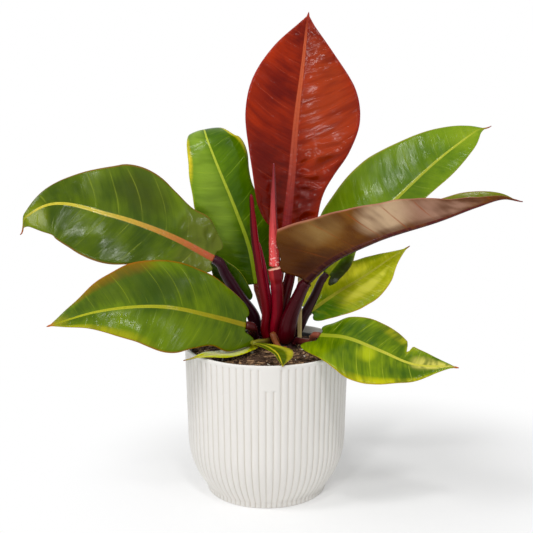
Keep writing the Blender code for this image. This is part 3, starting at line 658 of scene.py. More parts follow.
class Blade:
    """The curved middle surface of a leaf blade. Lengths in millimetres."""

    def __init__(self, leaf, swells):
        self.leaf = leaf
        self.relief = swells
        self.path = Path(leaf["midrib"])
        self.length = self.path.length
        facing = [Vector(way) for way in leaf["facing"]]
        self.forwards = sampled(self.path.way)
        self.ups = [self.square(facing[0].lerp(facing[1], i / SAMPLES), forward)
                    for i, forward in enumerate(self.forwards)]
        self.flesh = {side: self.half_widths(leaf[side]) for side in ("left", "right")}

    def half_widths(self, widths):
        """Half widths of the flesh, which ends where the drawn-out point begins."""
        return sampled(lambda u: smooth_value(widths, min(u / self.relief["point"], 1.0)))

    @staticmethod
    def square(up, forward):
        """The upward way turned square to the midrib."""
        return (up - forward * up.dot(forward)).normalized()

    def frame(self, u):
        """Point, forward, side and upward directions of the midrib."""
        forward = read(self.forwards, u)
        up = read(self.ups, u)
        return self.path.at(u), forward, forward.cross(up), up

    def width(self, u, v):
        """Half width of the flesh on one side, or of the thin point past it."""
        flesh = read(self.flesh["right" if v > 0 else "left"], u)
        point = POINT_HALF_WIDTH * min(1.0, (1.0 - u) / (1.0 - self.relief["point"]))
        if "notch" in self.relief:
            side, middle, half, share = self.relief["notch"]
            if v * side > 0:
                flesh *= 1.0 - share * bulge(u, middle, half)
        return max(flesh, point if u > POINT_START else 0.0)

    def rib(self, u):
        """Half width of the midrib."""
        base, tip = self.relief["rib"]
        return base + (tip - base) * u ** 0.8

    def surface(self, u, v):
        """A point of the surface, with its place along and across the blade."""
        leaf = self.leaf
        side = abs(v)
        reach = side * self.width(u, v)
        hump = math.sin(2.5 * max(0.0, (side - 0.35) / 0.65) ** 0.8)
        lobe = leaf["lobe"][1 if v > 0 else 0]
        back = (lobe * hump - leaf["rounding"] * side ** 3) * (1.0 - u) ** 8
        if "heel" in self.relief and v > 0:
            back += smooth_value(self.relief["heel"], side) * (1.0 - u) ** 10
        slide = leaf["sweep"] * reach * side ** 0.6 * min(1.0, 4.0 * u) * (1.0 - u) - back
        along = u + slide / self.length
        clamped = min(max(along, 0.0), 1.0)
        centre, forward, across, up = self.frame(clamped)
        centre = centre + forward * (along - clamped) * self.length
        fold = math.radians(leaf["fold"])
        curl = math.radians(leaf["curl"]) or 0.001
        turn = fold + curl * side
        out = reach * (math.sin(turn) - math.sin(fold)) / (curl * side) if side else 0.0
        rise = reach * (math.cos(fold) - math.cos(turn)) / (curl * side) if side else 0.0
        height, count = leaf["wave"]
        rise += height * side ** 2 * math.sin(math.tau * count * u + v) * min(1.0, 5 * (1 - u))
        sign = 1.0 if v > 0 else -1.0
        tail = ease((u - TAIL_START) / (1.0 - TAIL_START))
        point = centre + across * out * sign + up * rise + Vector(self.relief["tail"]) * tail
        lay = Vector((along * self.length, sign * reach, v))
        return point + up * self.swelling(lay, u), lay

    def swelling(self, lay, u):
        """Height of the pillows, rolls and puckers above the plain surface."""
        along, across, v = lay
        span, side = abs(across), abs(v)
        beside = ease((span - self.rib(u)) / 9.0) * (1.0 - side ** 6)
        phase = (along - span * (0.3 + 0.004 * span)) / self.relief["vein"]
        phase += 0.5 if v > 0 else 0.0
        pillow = abs(math.sin(math.pi * phase)) ** 0.6 - 0.6
        height, size = self.relief["roll"]
        spot = Vector((along / size, across / size * 0.8, self.length * 0.37))
        roll = noise.noise(spot) + 0.5 * noise.noise(spot * 2.3)
        total = self.relief["swell"] * pillow * beside + height * roll * side * (1.0 - u ** 6)
        if "pucker" in self.relief:
            start, end, half, fold = self.relief["pucker"]
            share = ease((u - start) / 0.08) * ease((end - u) / 0.12)
            share *= ease((span - 4.0) / 8.0) * (1.0 - side ** 3)
            share *= 1.0 if v * half > 0 else 0.35
            crease = Vector((along / 13, across / 24, 4.0))
            total += fold * share * (1.0 - 2.6 * abs(noise.noise(crease)))
        return total

    def skins(self, u, v, thickness, edge):
        """How far the upper and the under face stand off the middle surface."""
        span = abs(v) * self.width(u, v)
        flesh = edge + (thickness - edge) * (1.0 - abs(v) ** 4)
        half = self.rib(u)
        ridge = math.sqrt(max(0.0, 1.0 - (span / half) ** 2))
        upper = flesh / 2 + self.relief["crest"] * half * ridge ** 1.5 * (1.0 - 0.6 * u)
        under = flesh / 2 + 0.75 * half * ridge * (1.0 - 0.4 * u)
        return upper, under


def linked(name, data):
    """An object of a mesh, a lamp or a camera, put in the scene."""
    made = bpy.data.objects.new(name, data)
    bpy.context.scene.collection.objects.link(made)
    return made


def made_of(name, shape, finish):
    """An object of a bmesh, in its finish."""
    mesh = bpy.data.meshes.new(name)
    shape.to_mesh(mesh)
    shape.free()
    mesh.materials.append(finish)
    return linked(name, mesh)


def add_piece(node, shape, finish, smooth=True):
    """Make a piece of a bmesh, named after the solid it stands for, and hide that solid."""
    bmesh.ops.recalc_face_normals(shape, faces=shape.faces)
    if shape.calc_volume(signed=True) < 0.0:
        bmesh.ops.reverse_faces(shape, faces=shape.faces)
    for face in shape.faces:
        face.smooth = smooth
    piece = made_of("grown_" + node, shape, finish)
    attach(piece, BODY)
    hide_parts(node)


def turned(profile, steps):
    """Turn an outline of (radius, height) in metres about Z into a closed shape.

    One eighth is spun, then doubled three times, which is much quicker than a full spin.
    """
    shape = bmesh.new()
    corners = [shape.verts.new((radius, 0.0, height)) for radius, height in profile]
    edges = [shape.edges.new(pair) for pair in zip(corners, corners[1:])]
    angle = math.tau / 8
    bmesh.ops.spin(shape, geom=corners + edges, axis=(0.0, 0.0, 1.0), cent=(0.0, 0.0, 0.0),
                   angle=angle, steps=steps // 8)
    for _ in range(3):
        copy = bmesh.ops.duplicate(shape, geom=shape.verts[:] + shape.edges[:] + shape.faces[:])
        fresh = [item for item in copy["geom"] if isinstance(item, bmesh.types.BMVert)]
        bmesh.ops.rotate(shape, verts=fresh, cent=(0.0, 0.0, 0.0),
                         matrix=Matrix.Rotation(angle, 3, "Z"))
        angle *= 2
    bmesh.ops.remove_doubles(shape, verts=shape.verts, dist=0.005 * MM)
    return shape


def arc(centre, radius, start, end, count):
    """Points of an arc in the outline's plane, angles in degrees."""
    turns = (math.radians(start + (end - start) * i / count) for i in range(count + 1))
    return [(centre[0] + radius * math.cos(a), centre[1] + radius * math.sin(a)) for a in turns]


def steps_between(start, end, count):
    """Evenly spaced numbers from start to just before end."""
    return [start + (end - start) * i / count for i in range(count)]


def belly_radius(z):
    """Outer radius of the planter's ribs at a height."""
    if z >= SHOULDER_Z:
        share = (z - SHOULDER_Z) / (PLANTER_HEIGHT - SHOULDER_Z)
        return SHOULDER_RADIUS + (PLANTER_RADIUS - SHOULDER_RADIUS) * share
    share = (SHOULDER_Z - z) / (SHOULDER_Z - FOOT_Z)
    belly = SHOULDER_RADIUS - (SHOULDER_RADIUS - FOOT_RADIUS) * share ** BELLY_POWER
    return (belly + FOOT_RADIUS + math.hypot(belly - FOOT_RADIUS, 1.0 * MM)) / 2


def planter_outline():
    """Inner floor, inner wall, rounded lip, outer wall, foot and base."""
    inside = [(0.0, FLOOR_THICKNESS)]
    centre = (belly_radius(FLOOR_THICKNESS) - WALL - CORNER, FLOOR_THICKNESS + CORNER)
    inside += arc(centre, CORNER, -90, 0, 6)[:-1]
    inside += [(belly_radius(z) - WALL, z)
               for z in steps_between(FLOOR_THICKNESS + 10 * MM, PLANTER_HEIGHT - 1.5 * MM, 14)]
    half = WALL / 2
    lip = arc((PLANTER_RADIUS - half, PLANTER_HEIGHT - half), half, 180, 0, 8)
    chamfer = 0.6 * MM
    stops = ((BELOW_LIP, 4), (BELOW_LIP - 4 * MM, 4), (PANEL_FOOT + 3 * MM, 8),
             (PANEL_FOOT - 2 * MM, 8), (SHOULDER_Z, 20), (12 * MM, 9), (chamfer, 0))
    outside = [(belly_radius(z), z) for (high, count), (low, _) in zip(stops, stops[1:])
               for z in steps_between(high, low, count)]
    base = belly_radius(0.0)
    return inside + lip + outside + [(base, chamfer), (base - 0.7 * MM, 0.0), (0.0, 0.0)]


def groove_depth(angle, z, ribs):
    """Share of the full groove depth at a place on the planter's wall, 0 to 1."""
    rib = math.tau / ribs
    phase = abs(2 * (((angle - PANEL_ANGLE) / rib + 0.5) % 1.0 - 0.5))
    depth = (1.0 - SHARPNESS) * phase ** 2 + SHARPNESS * phase ** 10
    fade = ease((BELOW_LIP - z) / LIP_FADE)
    turn = math.remainder(angle - PANEL_ANGLE, math.tau)
    if abs(turn) < (PANEL_RIBS / 2 - 0.25) * rib:
        fade *= ease((PANEL_FOOT + 0.6 * MM - z) / PANEL_FADE)
    return depth * fade


class PLANT_OT_planter(bpy.types.Operator):
    """Turn the ribbed planter and press its grooves"""

    bl_idname = "philodendron.planter"
    bl_label = "Planter"

    def execute(self, context):
        settings = context.scene.planter_settings
        shape = turned(planter_outline(), settings.rib_count * RIB_STEPS)
        # The depth of each groove, kept to paint shade into it.
        shade = shape.verts.layers.float.new("groove_shade")
        for vertex in shape.verts:
            x, y, z = vertex.co
            radius = math.hypot(x, y)
            if radius < belly_radius(z) - WALL * 0.6 or z < 0.1 * MM:
                continue
            depth = groove_depth(math.atan2(y, x), z, settings.rib_count)
            vertex[shade] = depth
            vertex.co = Vector((x, y, 0.0)) * (1.0 - settings.rib_depth * depth / radius)
            vertex.co.z = z
        add_piece("planter", shape, planter_finish(settings))
        return {"FINISHED"}


def planter_finish(settings):
    """Satin moulded plastic, with painted shade making it deeper in colour down in the grooves."""
    make = Finish("planter", IOR=1.46)
    groove_shade = make.attribute("groove_shade", "Fac")
    where = make.place()
    cloud = make.noise(where, 14.0, 3.0)
    grain = make.noise(where, 2600.0, 2.0)
    # Painted shade down in the grooves.
    body = make.mix(make.grade(groove_shade, 0.3, 0.95), tuple(settings.colour), tuple(settings.groove_shade))
    body = make.mix(make.grade(cloud, 0.3, 0.8) * 0.35, body,
                    tuple(c * 0.96 for c in settings.colour))
    return make.set(Base_Color=body, Roughness=make.grade(cloud, 0.2, 0.8, 0.42, 0.52),
                    Normal=make.bump(grain, 0.02 * MM, 0.5))


class PLANT_OT_nursery_pot(bpy.types.Operator):
    """Give the grower's pot its scuffed black plastic"""

    bl_idname = "philodendron.nursery_pot"
    bl_label = "Grower's pot"

    def execute(self, context):
        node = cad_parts["nursery_pot"]
        node.data.materials.clear()
        node.data.materials.append(pot_finish(context.scene.planter_settings))
        return {"FINISHED"}


def pot_finish(settings):
    """Thin black pot plastic with fine scuffs."""
    make = Finish("nursery_pot", Roughness=0.45)
    scuff = make.noise(make.place(), 300.0, 4.0, 0.7)
    colour = make.mix(make.grade(scuff, 0.55, 0.8) * 0.5, tuple(settings.pot_colour),
                      tone(58, 56, 54))
    return make.coat(colour, scuff, (0.3, 0.7, 0.38, 0.6), 0.05 * MM, 0.4)


def mix_height(share):
    """Height of the mounded mix at a share of its radius."""
    return MIX_EDGE_Z + MIX_MOUND * (1.0 - share ** 2)


def mix_outline():
    """The potting mix from the middle of its top, down its side, to the middle of its base."""
    foot = MIX_RADIUS * MIX_TAPER
    top = [(MIX_RADIUS * share, mix_height(share)) for share in steps_between(0.0, 1.0, 60)]
    return top + [(MIX_RADIUS, MIX_EDGE_Z),
                  (foot + (MIX_RADIUS - foot) * 0.5, (MIX_EDGE_Z + MIX_LOW.z) / 2),
                  (foot, MIX_LOW.z), (0.0, MIX_LOW.z)]


def lump(shape, grain, tint, place, size, stretch, lean):
    """Add one rough lump of bark or peat."""
    turn = Matrix.Rotation(grain.uniform(0, math.tau), 4, "Z") @ Matrix.Rotation(lean, 4, "X")
    form = Matrix.Diagonal([share * size for share in stretch] + [1.0])
    made = bmesh.ops.create_icosphere(shape, subdivisions=1, radius=1.0,
                                      matrix=Matrix.Translation(place) @ turn @ form)
    colour = grain.random()
    for vertex in made["verts"]:
        jog = Vector([grain.uniform(-1, 1) for _ in range(3)])
        vertex.co += jog * size * LUMP_ROUGHNESS
        vertex[tint] = colour


class PLANT_OT_mix(bpy.types.Operator):
    """Heap the potting mix: a crumbly bed with lumps of bark and peat, some long and thin, and
    white grains
    """

    bl_idname = "philodendron.mix"
    bl_label = "Potting mix"

    def execute(self, context):
        settings = context.scene.mix_settings
        grain = random.Random(settings.seed)
        shape = turned(mix_outline(), 200)
        tint = shape.verts.layers.float.new("tint")
        for vertex in shape.verts:
            if vertex.co.z > MIX_EDGE_Z - 1 * MM:
                spot = vertex.co * CRUMBS_PER_METRE
                height = noise.noise(spot) + 0.6 * noise.noise(spot * 2.1)
                vertex.co.z += CRUMB_HEIGHT * height
            vertex[tint] = BED_TINT
        for _ in range(settings.lumps // LUMPS_AT_ONCE):
            heap = bmesh.new()
            heap_tint = heap.verts.layers.float.new("tint")
            for _ in range(LUMPS_AT_ONCE):
                radius = MIX_RADIUS * math.sqrt(grain.random()) * LUMP_REACH
                angle = grain.uniform(0, math.tau)
                size = grain.choice(LUMP_SIZES)
                height = mix_height(radius / MIX_RADIUS)
                place = Vector((radius * math.cos(angle), radius * math.sin(angle),
                                height + grain.uniform(-0.4, 0.9) * size))
                stretch = grain.choice(LUMP_FORMS)
                lump(heap, grain, heap_tint, place, size, stretch, grain.uniform(-0.7, 0.7))
            mesh = bpy.data.meshes.new("heap")
            heap.to_mesh(mesh)
            heap.free()
            shape.from_mesh(mesh)
            bpy.data.meshes.remove(mesh)
        add_piece("potting_mix", shape, mix_finish(settings), smooth=False)
        return {"FINISHED"}


def mix_finish(settings):
    """Damp peat with bark of several browns and a few white grains."""
    make = Finish("potting_mix", Roughness=0.9)
    tint = make.attribute("tint", "Fac")
    speck = make.noise(make.place(), 900.0, 3.0, 0.7)
    colour = make.mix(make.grade(tint, 0.35, 0.95), tuple(settings.dark), tuple(settings.pale))
    colour = make.mix(make.grade(speck, 0.4, 0.75) * 0.6, colour, tone(26, 15, 8))
    colour = make.mix(make.grade(tint, 0.982, 0.986), colour, tone(226, 220, 206))
    return make.coat(colour, speck, (0.2, 0.8, 0.75, 0.95), 0.4 * MM, 0.8)


class PLANT_OT_crown(bpy.types.Operator):
    """Dress the crown and the stake"""

    bl_idname = "philodendron.crown"
    bl_label = "Crown and stake"

    def execute(self, context):
        outline = [(CROWN_RADIUS * math.sin(a), CROWN_SHOULDER_Z + CROWN_DOME * math.cos(a))
                   for a in steps_between(0.0, math.pi / 2, 16)]
        outline += [(CROWN_RADIUS, CROWN_SHOULDER_Z), (CROWN_RADIUS * CROWN_TAPER, CROWN_LOW.z),
                    (0.0, CROWN_LOW.z)]
        shape = turned(outline, 72)
        for vertex in shape.verts:
            vertex.co *= 1.0 - 0.01 * abs(noise.noise(vertex.co * 180))
        bmesh.ops.translate(shape, vec=(CROWN_CENTRE.x, CROWN_CENTRE.y, 0.0), verts=shape.verts)
        add_piece("crown", shape, crown_finish())
        low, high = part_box("stake")
        size = high - low
        shape = bmesh.new()
        form = Matrix.Diagonal((size.x, size.y * STAKE_FLATNESS, size.z, 1.0))
        bmesh.ops.create_cube(shape, size=1.0, matrix=Matrix.Translation((low + high) / 2) @ form)
        bmesh.ops.bevel(shape, geom=shape.edges, offset=0.5 * MM, offset_type="OFFSET",
                        segments=2, profile=0.5, affect="EDGES", material=-1)
        add_piece("stake", shape, stake_finish())
        return {"FINISHED"}


def crown_finish():
    """Dark purple-brown stem skin."""
    make = Finish("crown", Roughness=0.6)
    rough = make.noise(make.place(), 160.0, 4.0, 0.6)
    colour = make.mix(make.grade(rough, 0.35, 0.7), tone(30, 8, 12), tone(74, 34, 26))
    return make.coat(colour, rough, (0.3, 0.7, 0.5, 0.8), 0.6 * MM, 0.8)


def stake_finish():
    """Pale split wood with its grain up the stake."""
    make = Finish("stake", Roughness=0.6)
    x, y, z = make.split(make.place())
    grain = make.noise(make.vector(x * 1400.0, y * 1400.0, z * 30.0), 1.0, 3.0, 0.6)
    colour = make.mix(make.grade(grain, 0.3, 0.7), tone(176, 150, 88), tone(222, 202, 142))
    return make.coat(colour, grain, (0.3, 0.7, 0.5, 0.7), 0.1 * MM, 0.5)


def blade_shape(blade, settings):
    """The closed mesh of one blade, with its lay (along, across, side) kept at each point."""
    rows = max(16, round(blade.length * MM / settings.grain))
    widest = max(blade.leaf["left"] + blade.leaf["right"])
    columns = 2 * max(12, round(widest * MM / settings.grain))
    shape = bmesh.new()
    lay = shape.verts.layers.float_vector.new("lay")
    under = shape.verts.layers.float.new("under")
    number = shape.verts.layers.int.new("number")
    bmesh.ops.create_grid(shape, x_segments=columns, y_segments=rows, size=1.0)
    stands = []
    for i, vertex in enumerate(shape.verts):
        u = ((vertex.co.y + 1.0) / 2.0) ** 1.1
        v = math.copysign(1.0 - (1.0 - abs(vertex.co.x)) ** 0.8, vertex.co.x)
        stands.append(blade.skins(u, v, settings.thickness / MM, settings.edge / MM))
        point, vertex[lay] = blade.surface(u, v)
        vertex[number] = i
        vertex.co = point * MM
    shape.normal_update()
    middle = blade.frame(0.5)[3]
    faces_up = sum(face.normal.dot(middle) for face in shape.faces) > 0
    if not faces_up:
        bmesh.ops.reverse_faces(shape, faces=shape.faces)
        shape.normal_update()
    outward = [vertex.normal.copy() for vertex in shape.verts]
    raised = bmesh.ops.extrude_face_region(shape, geom=shape.faces[:], use_keep_orig=True)
    copies = {item for item in raised["geom"] if isinstance(item, bmesh.types.BMVert)}
    for vertex in shape.verts:
        i = vertex[number]
        upper, lower = stands[i]
        vertex.co += outward[i] * MM * (upper if vertex in copies else -lower)
        vertex[under] = 0.0 if vertex in copies else 1.0
    bmesh.ops.remove_doubles(shape, verts=shape.verts, dist=0.0005 * MM)
    return shape


def far_from(u, side, spot_u, spot_v, size_u, size_v):
    """Squared distance from a spot on a blade, in its own sizes."""
    return ((u - spot_u) / size_u) ** 2.0 + ((side - spot_v) / size_v) ** 2.0


def skin(make, blade, look, along, across, side, where):
    """Colour and fine relief of one face of a blade."""
    span = abs(across)
    edge = abs(side)
    u = along / blade.length
    half = make.grade(side, -0.01, 0.01, 0.0, 0.5)
    drift = make.noise(where, 14.0, 1.0)
    slope = span * 0.004 + look["lean"]
    phase = (along - span * slope) / blade.relief["vein"] + half + drift * 0.3
    line = phase.joined("PINGPONG", phase, 0.5)
    beside = make.grade(span, 2.0, 6.0) * make.grade(edge, 1.0, 0.8)
    strand = make.noise(make.vector(phase * 7.0, edge * 1.2, half * 9.0), 1.0, 3.0, 0.6)
    crease = make.noise(make.vector(phase * 2.2, edge * 2.6 + drift, half * 5.0), 1.0, 1.5)
    main_vein = make.grade(line, 0.05, 0.0) * beside * make.grade(strand, 0.4, 0.62)
    cloud = make.noise(where, 19.0, 3.0)
    body = make.grade(cloud * 0.6 + strand * 0.2 + crease * 0.2, 0.3, 0.8)
    colour = make.mix(body, look["deep"], look["light"])
    colour = make.mix(make.grade(edge, 0.5, 1.05) * 0.4, colour, look["light"])
    for *spot, patch, strength in look["patches"]:
        far = far_from(u, side, *spot)
        share = make.grade(far + (cloud - 0.5) * 0.9 + (strand - 0.5) * 0.5, 1.1, 0.0) * strength
        colour = make.mix(share, colour, patch)
    band = make.noise(make.vector(phase * 1.3, edge * 0.7, half * 9.0), 1.0, 2.0, 0.6)
    colour = make.mix(make.grade(band, 0.42, 0.66) * look["bands"], colour, look["deep"])
    colour = make.mix(main_vein * look["veins"], colour, look["vein"])
    colour = make.mix(make.grade(edge, 0.95, 1.0) * 0.8, colour, look["edge"])
    colour = make.mix(make.grade(u, 0.95, 0.99), colour, look["point"])
    rib_base, rib_tip = blade.relief["rib"]
    ribbed = (1.0 - u) * (rib_base - rib_tip) + rib_tip
    rib_share = make.grade(span / ribbed, 1.15, 0.8)
    rib = make.mix(make.grade(u, 0.0, 0.75), *look["rib"])
    rib = make.mix(make.grade(strand, 0.4, 0.7) * 0.3, rib, look["light"])
    colour = make.mix(rib_share * make.grade(u, 1.0, 0.85), colour, rib)
    height = strand * 0.4 + crease * look["crease"] - main_vein * 0.4
    return colour, height


def leaf_finish(name, blade, settings):
    """A blade's waxy skin, with its own palette above and below."""
    make = Finish("leaf_" + name, Specular_IOR_Level=settings.wax)
    along, across, side = make.split(make.attribute("lay"))
    where = make.place()
    above = skin(make, blade, LOOKS[name], along, across, side, where)
    below = skin(make, blade, UNDERSIDES.get(name, GREEN_UNDER), along, across, side, where)
    under = make.grade(make.attribute("under", "Fac"), 0.4, 0.6)
    height = above[1] * (1.0 - under) + below[1] * under
    pores = make.noise(where, 1500.0, 2.0)
    wax = make.noise(where, 60.0, 3.0, 0.6)
    rough = make.grade(wax, 0.3, 0.7, settings.gloss + 0.08, settings.gloss - 0.04)
    for spot in LOOKS[name]["dull"]:
        far = far_from(along / blade.length, side, *spot)
        rough = rough + make.grade(far, 1.2, 0.4) * 0.4
    return make.set(
        Base_Color=make.mix(under, above[0], below[0]),
        Roughness=rough + under * 0.1,
        Normal=make.bump(height + pores * 0.06, 0.5 * MM, 0.8))


class PLANT_OT_leaves(bpy.types.Operator):
    """Shape every leaf blade with its veins, folds and rim"""

    bl_idname = "philodendron.leaves"
    bl_label = "Leaf blades"

    def execute(self, context):
        settings = context.scene.foliage_settings
        for name, leaf in LEAVES.items():
            blade = Blade(leaf, RELIEF[name])
            node = "leaf_" + name
            add_piece(node, blade_shape(blade, settings), leaf_finish(name, blade, settings))
        return {"FINISHED"}


def socket_start(socket):
    """The two points where a stalk leaves the crown's dome, square to it."""
    centre = CROWN_CENTRE / MM
    radius, dome, shoulder = CROWN_RADIUS / MM, CROWN_DOME / MM, CROWN_SHOULDER_Z / MM
    dx, dy = socket
    lean = min(math.hypot(dx, dy) / radius, 1.0)
    height = dome * math.sqrt(1.0 - lean ** 2)
    foot = Vector((centre.x + dx, centre.y + dy, shoulder + height))
    outward = Vector((dx / radius ** 2, dy / radius ** 2, height / dome ** 2)).normalized()
    return [foot + outward * 0.3, foot + outward * 6.0]


def tube_shape(path, radius_at, step=2.0, tip=0.0, slant=0.0):
    """A closed tube along a path, in millimetres. Its lay keeps (along, cosine, sine).

    tip is the share of its length that is rounded off, slant how far its end is cut askew.
    """
    rings = max(8, round(path.length / step))
    shape = bmesh.new()
    lay = shape.verts.layers.float_vector.new("lay")
    bmesh.ops.create_grid(shape, x_segments=TUBE_SIDES, y_segments=rings + 2, size=1.0)
    across = Vector((1.0, 0.0, 0.0))
    frames = []
    for i in range(rings + 1):
        forward = path.way(i / rings)
        across = (across - forward * across.dot(forward)).normalized()
        frames.append((path.at(i / rings), across, forward.cross(across)))
    for vertex in shape.verts:
        row = round((vertex.co.y + 1.0) / 2.0 * (rings + 2))
        angle = (vertex.co.x + 1.0) * math.pi
        ring = min(max(row - 1, 0), rings)
        t = ring / rings
        end = row in (0, rings + 2)
        centre, x_way, y_way = frames[ring]
        around = Vector((math.cos(angle), math.sin(angle)))
        radius = 0.0 if end else radius_at(t, angle)
        if tip and t > 1.0 - tip:
            radius *= math.sqrt(max(0.0, 1.0 - ((t - 1.0 + tip) / tip) ** 2))
        askew = x_way.cross(y_way) * slant * around.x * radius / 8.0 * ease((t - 0.85) / 0.15)
        vertex.co = (centre + (x_way * around.x + y_way * around.y) * radius + askew) * MM
        vertex[lay] = Vector((t * path.length, around.x, around.y))
    bmesh.ops.remove_doubles(shape, verts=shape.verts, dist=0.01 * MM)
    return shape


def stalk_finish(name, colours, length, flank_and_shade=None, rim=None, wet=0.0, blush=(0.05, 0.95)):
    """Smooth stalk skin with faint streaks along it and small pale flecks.

    The right flank's colour, and where that side begins, is a lighter red of its own on the
    red sheath and painted shade on the bud sheath and the rolled leaf, whose right sides face
    away from the light. rim is the colour of a torn upper edge, wet the length at the foot that
    glistens, with pale pink glints painted on its drops, and blush the shares of the length
    between which the colour turns.
    """
    make = Finish(name, Specular_IOR_Level=0.4 if wet else 0.13)
    along, x, y = make.split(make.attribute("lay"))
    streak = make.noise(make.vector(x * 3.0, y * 3.0, along * 0.02), 1.0, 4.0, 0.6)
    fleck = make.noise(make.vector(x * 9.0, y * 9.0, along * 0.25), 1.0, 1.0)
    colour = make.mix(make.grade(along / length, *blush), *colours)
    if flank_and_shade:
        flank, start = flank_and_shade
        fold = x + (streak - 0.5) * 0.5 + along * 0.004
        colour = make.mix(make.grade(fold, start, start + 0.2) * 0.9, colour, flank)
    colour = make.mix(make.grade(streak, 0.3, 0.7) * 0.55, colour,
                      tuple(c * 0.35 for c in colours[0]))
    colour = make.mix(make.grade(fleck, 0.74, 0.8) * 0.35, colour, tone(196, 150, 130))
    if rim:
        torn = make.grade(along + streak * 3.0, length - 1.5, length - 0.5)
        colour = make.mix(torn, colour, rim)
    rough, height = make.grade(streak, 0.2, 0.8, 0.2, 0.34), streak
    if wet:
        drops_and_glints = make.noise(make.vector(x * 2.6, y * 2.6, along * 0.42), 1.0, 2.0)
        share = make.grade(along, wet, wet * 0.6)
        rough = rough * (1.0 - share * 0.6)
        height = height + drops_and_glints * share * 2.0
        # Pale pink spots on the drops: painted glints of the wet skin.
        colour = make.mix(make.grade(drops_and_glints, 0.58, 0.64) * share * 0.8, colour, tone(255, 196, 190))
    return make.set(Base_Color=colour, Roughness=rough,
                    Normal=make.bump(height, 0.3 * MM, 0.6))


class PLANT_OT_stalks(bpy.types.Operator):
    """Grow the leaf stalks from the crown to the blades"""

    bl_idname = "philodendron.stalks"
    bl_label = "Leaf stalks"

    def execute(self, context):
        for name, leaf in LEAVES.items():
            blade = Blade(leaf, RELIEF[name])
            foot, forward, _, _ = blade.frame(0.0)
            end = foot - forward * 0.3
            points = socket_start(leaf["socket"]) + leaf["stalk"] + [end - forward * 6.0, end]
            path = Path(points)
            girth = leaf["girth"]
            foot_colour, top_colour, flare = STALKS[name]

            def radius_at(t, angle):
                along = t * path.length
                ridge = 1.0 + 0.05 * math.cos(3 * angle + len(name))
                joint = 1.0 + 0.1 * bulge(along - path.length, -JOINT_WAY, JOINT_LENGTH)
                clasp = 1.0 + flare * bulge(along, CLASP_WAY, CLASP_LENGTH)
                return smooth_value(girth, t) * ridge * joint * clasp

            node = "stalk_" + name
            finish = stalk_finish(node, (tone(*foot_colour), tone(*top_colour)), path.length)
            add_piece(node, tube_shape(path, radius_at), finish)
        return {"FINISHED"}


class PLANT_OT_shoots(bpy.types.Operator):
    """Grow the sheaths and the rolled new leaf"""

    bl_idname = "philodendron.shoots"
    bl_label = "Sheaths and rolled leaf"

    def execute(self, context):
        for name, shoot in SHOOTS.items():
            path = Path(socket_start(shoot["socket"]) + shoot["path"])
            girth = shoot["girth"]

            def radius_at(t, angle):
                neck = 0.12 * bulge(t * path.length - path.length, -NECK_WAY, NECK_LENGTH)
                ridges = 0.06 * math.cos(2 * angle + t * 2) + 0.04 * math.cos(5 * angle)
                return smooth_value(girth, t) * (1.0 + ridges - neck)

            details = {key: shoot[key] for key in ("flank_and_shade", "rim", "blush") if key in shoot}
            finish = stalk_finish(name, shoot["colours"], path.length, **details)
            shape = tube_shape(path, radius_at, tip=shoot["tip"], slant=shoot.get("slant", 0.0))
            add_piece(name, shape, finish)
        path = Path(ROLLED_LEAF["path"])

        def rolled(t, angle):
            overlap = 0.18 * (((angle / math.tau) + t * 0.6) % 1.0)
            return smooth_value(ROLLED_LEAF["girth"], t) * (0.9 + overlap)

        # Its wet foot glistens, with painted glints on the drops.
        finish = stalk_finish("rolled_leaf", ROLLED_LEAF["colours"], path.length,
                              ROLLED_LEAF["flank_and_shade"], wet=36.0)
        add_piece("rolled_leaf", tube_shape(path, rolled, step=1.5), finish)
        return {"FINISHED"}


CAMERA_PLACE = (0.0, -1.007, 0.447)
CAMERA_TILT = math.radians(90 - 10.8)
SENSOR_WIDTH = 36.0
FLOOR_RADIUS = 6.0
FLOOR_Z = -0.02 * MM
LAMP_AIM = Vector((0.0, 0.0, 0.3))

# Lamps: name, place, size and share of the power.
LAMPS = (
    ("side", (-1.5, -0.7, 1.75), 0.6, 0.42),
    ("front", (-0.62, -1.75, 1.15), 0.2, 0.18),
    ("high", (0.25, -1.2, 1.6), 0.2, 0.15),
    ("top", (-0.05, -0.9, 2.1), 0.24, 0.18),
    ("right", (1.1, -0.9, 1.5), 0.2, 0.07),
)


class PLANT_OT_stage(bpy.types.Operator):
    """Lay the floor and place the lights and the camera"""

    bl_idname = "philodendron.stage"
    bl_label = "Stage"

    def execute(self, context):
        scene = context.scene
        settings = scene.stage_settings
        shape = bmesh.new()
        bmesh.ops.create_circle(shape, cap_ends=True, segments=96, radius=FLOOR_RADIUS,
                                matrix=Matrix.Translation((0.0, 0.0, FLOOR_Z)))
        floor = made_of("floor", shape, floor_finish(settings))
        for name, place, size, share in LAMPS:
            add_lamp(name, place, size, settings.light * share)
        camera = linked("camera", bpy.data.cameras.new("camera"))
        camera.data.sensor_width = SENSOR_WIDTH
        camera.data.lens = settings.lens
        camera.location = CAMERA_PLACE
        camera.rotation_euler = (CAMERA_TILT, 0.0, 0.0)
        scene.camera = camera
        scene.view_settings.view_transform = "Standard"
        light_world(scene, settings)
        return {"FINISHED"}


def add_lamp(name, place, size, power):
    """A square soft light that points at the plant."""
    lamp = bpy.data.lights.new(name, "AREA")
    lamp.size = size
    lamp.energy = power
    holder = linked(name, lamp)
    holder.location = place
    holder.rotation_euler = (LAMP_AIM - Vector(place)).to_track_quat("-Z", "Y").to_euler()


def seen_directly(make):
    """1 for a ray from the camera, or one mirrored or let through on its way."""
    ray = make.node("ShaderNodeLightPath").socket.node
    seen = Signal(make, ray.outputs["Is Camera Ray"])
    for other in ("Is Glossy Ray", "Is Transmission Ray"):
        seen = seen.joined("MAXIMUM", seen, Signal(make, ray.outputs[other]))
    return seen


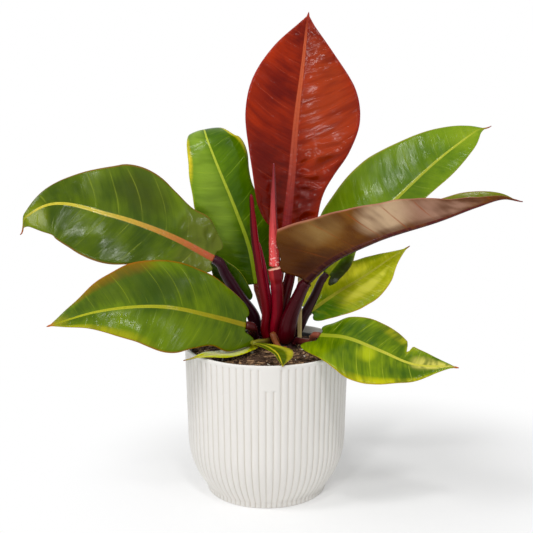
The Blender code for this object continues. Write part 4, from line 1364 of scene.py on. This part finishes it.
def floor_finish(settings):
    """Matte pale floor that keeps the shadow near the planter and fades to white far off."""
    make = Finish("floor", Roughness=0.9, Specular_IOR_Level=0.1)
    make.set(Base_Color=tuple(settings.floor))
    x, y, _ = make.split(make.place())
    beside, beyond = (x - 0.12) * 0.8, y - 0.04
    far = make.grade((beside ** 2.0 + beyond ** 2.0) ** 0.5, 0.08, 0.3)
    glow = make.node("ShaderNodeEmission", inputs={"Color": (1.0, 1.0, 1.0), "Strength": 1.0})
    share = seen_directly(make) * (far * 0.8 + 0.2)
    both = make.node("ShaderNodeMixShader", inputs={
        0: share, 1: Signal(make, make.shader.outputs[0]), 2: glow})
    output = make.tree.nodes["Material Output"]
    make.tree.links.new(both.socket, output.inputs["Surface"])
    return make.material


def light_world(scene, settings):
    """An even pale surround, white where it is seen."""
    world = bpy.data.worlds.new("surround")
    scene.world = world
    make = Finish("surround", world)
    backdrop = make.tree.nodes["Background"]
    strength = seen_directly(make) * (1.0 - settings.sky) + settings.sky
    make.feed(backdrop.inputs["Color"], (1.0, 1.0, 1.0))
    make.feed(backdrop.inputs["Strength"], strength)


class PLANT_PT_panel(bpy.types.Panel):
    """Lists the pieces of the potted plant"""

    bl_idname = "PLANT_PT_panel"
    bl_label = "Potted philodendron"
    bl_space_type = "VIEW_3D"
    bl_region_type = "UI"
    bl_category = "Philodendron"

    def draw(self, context):
        for name in SETTINGS:
            group = getattr(context.scene, name)
            for key in group.__annotations__:
                self.layout.prop(group, key)
        for operator in OPERATORS:
            self.layout.operator(operator.bl_idname)


SETTINGS = {
    "planter_settings": PlanterSettings,
    "foliage_settings": FoliageSettings,
    "mix_settings": MixSettings,
    "stage_settings": StageSettings,
}
OPERATORS = (PLANT_OT_planter, PLANT_OT_nursery_pot, PLANT_OT_mix, PLANT_OT_crown,
             PLANT_OT_stalks, PLANT_OT_leaves, PLANT_OT_shoots, PLANT_OT_stage)
CLASSES = (*SETTINGS.values(), *OPERATORS, PLANT_PT_panel)


def register():
    for item in CLASSES:
        bpy.utils.register_class(item)
    for key, group in SETTINGS.items():
        setattr(bpy.types.Scene, key, bpy.props.PointerProperty(type=group))


def unregister():
    for key in SETTINGS:
        delattr(bpy.types.Scene, key)
    for item in reversed(CLASSES):
        bpy.utils.unregister_class(item)


def main():
    register()
    bpy.ops.philodendron.planter()
    bpy.ops.philodendron.nursery_pot()
    bpy.ops.philodendron.mix()
    bpy.ops.philodendron.crown()
    bpy.ops.philodendron.stalks()
    bpy.ops.philodendron.leaves()
    bpy.ops.philodendron.shoots()
    bpy.ops.philodendron.stage()


if __name__ == "__main__":
    main()
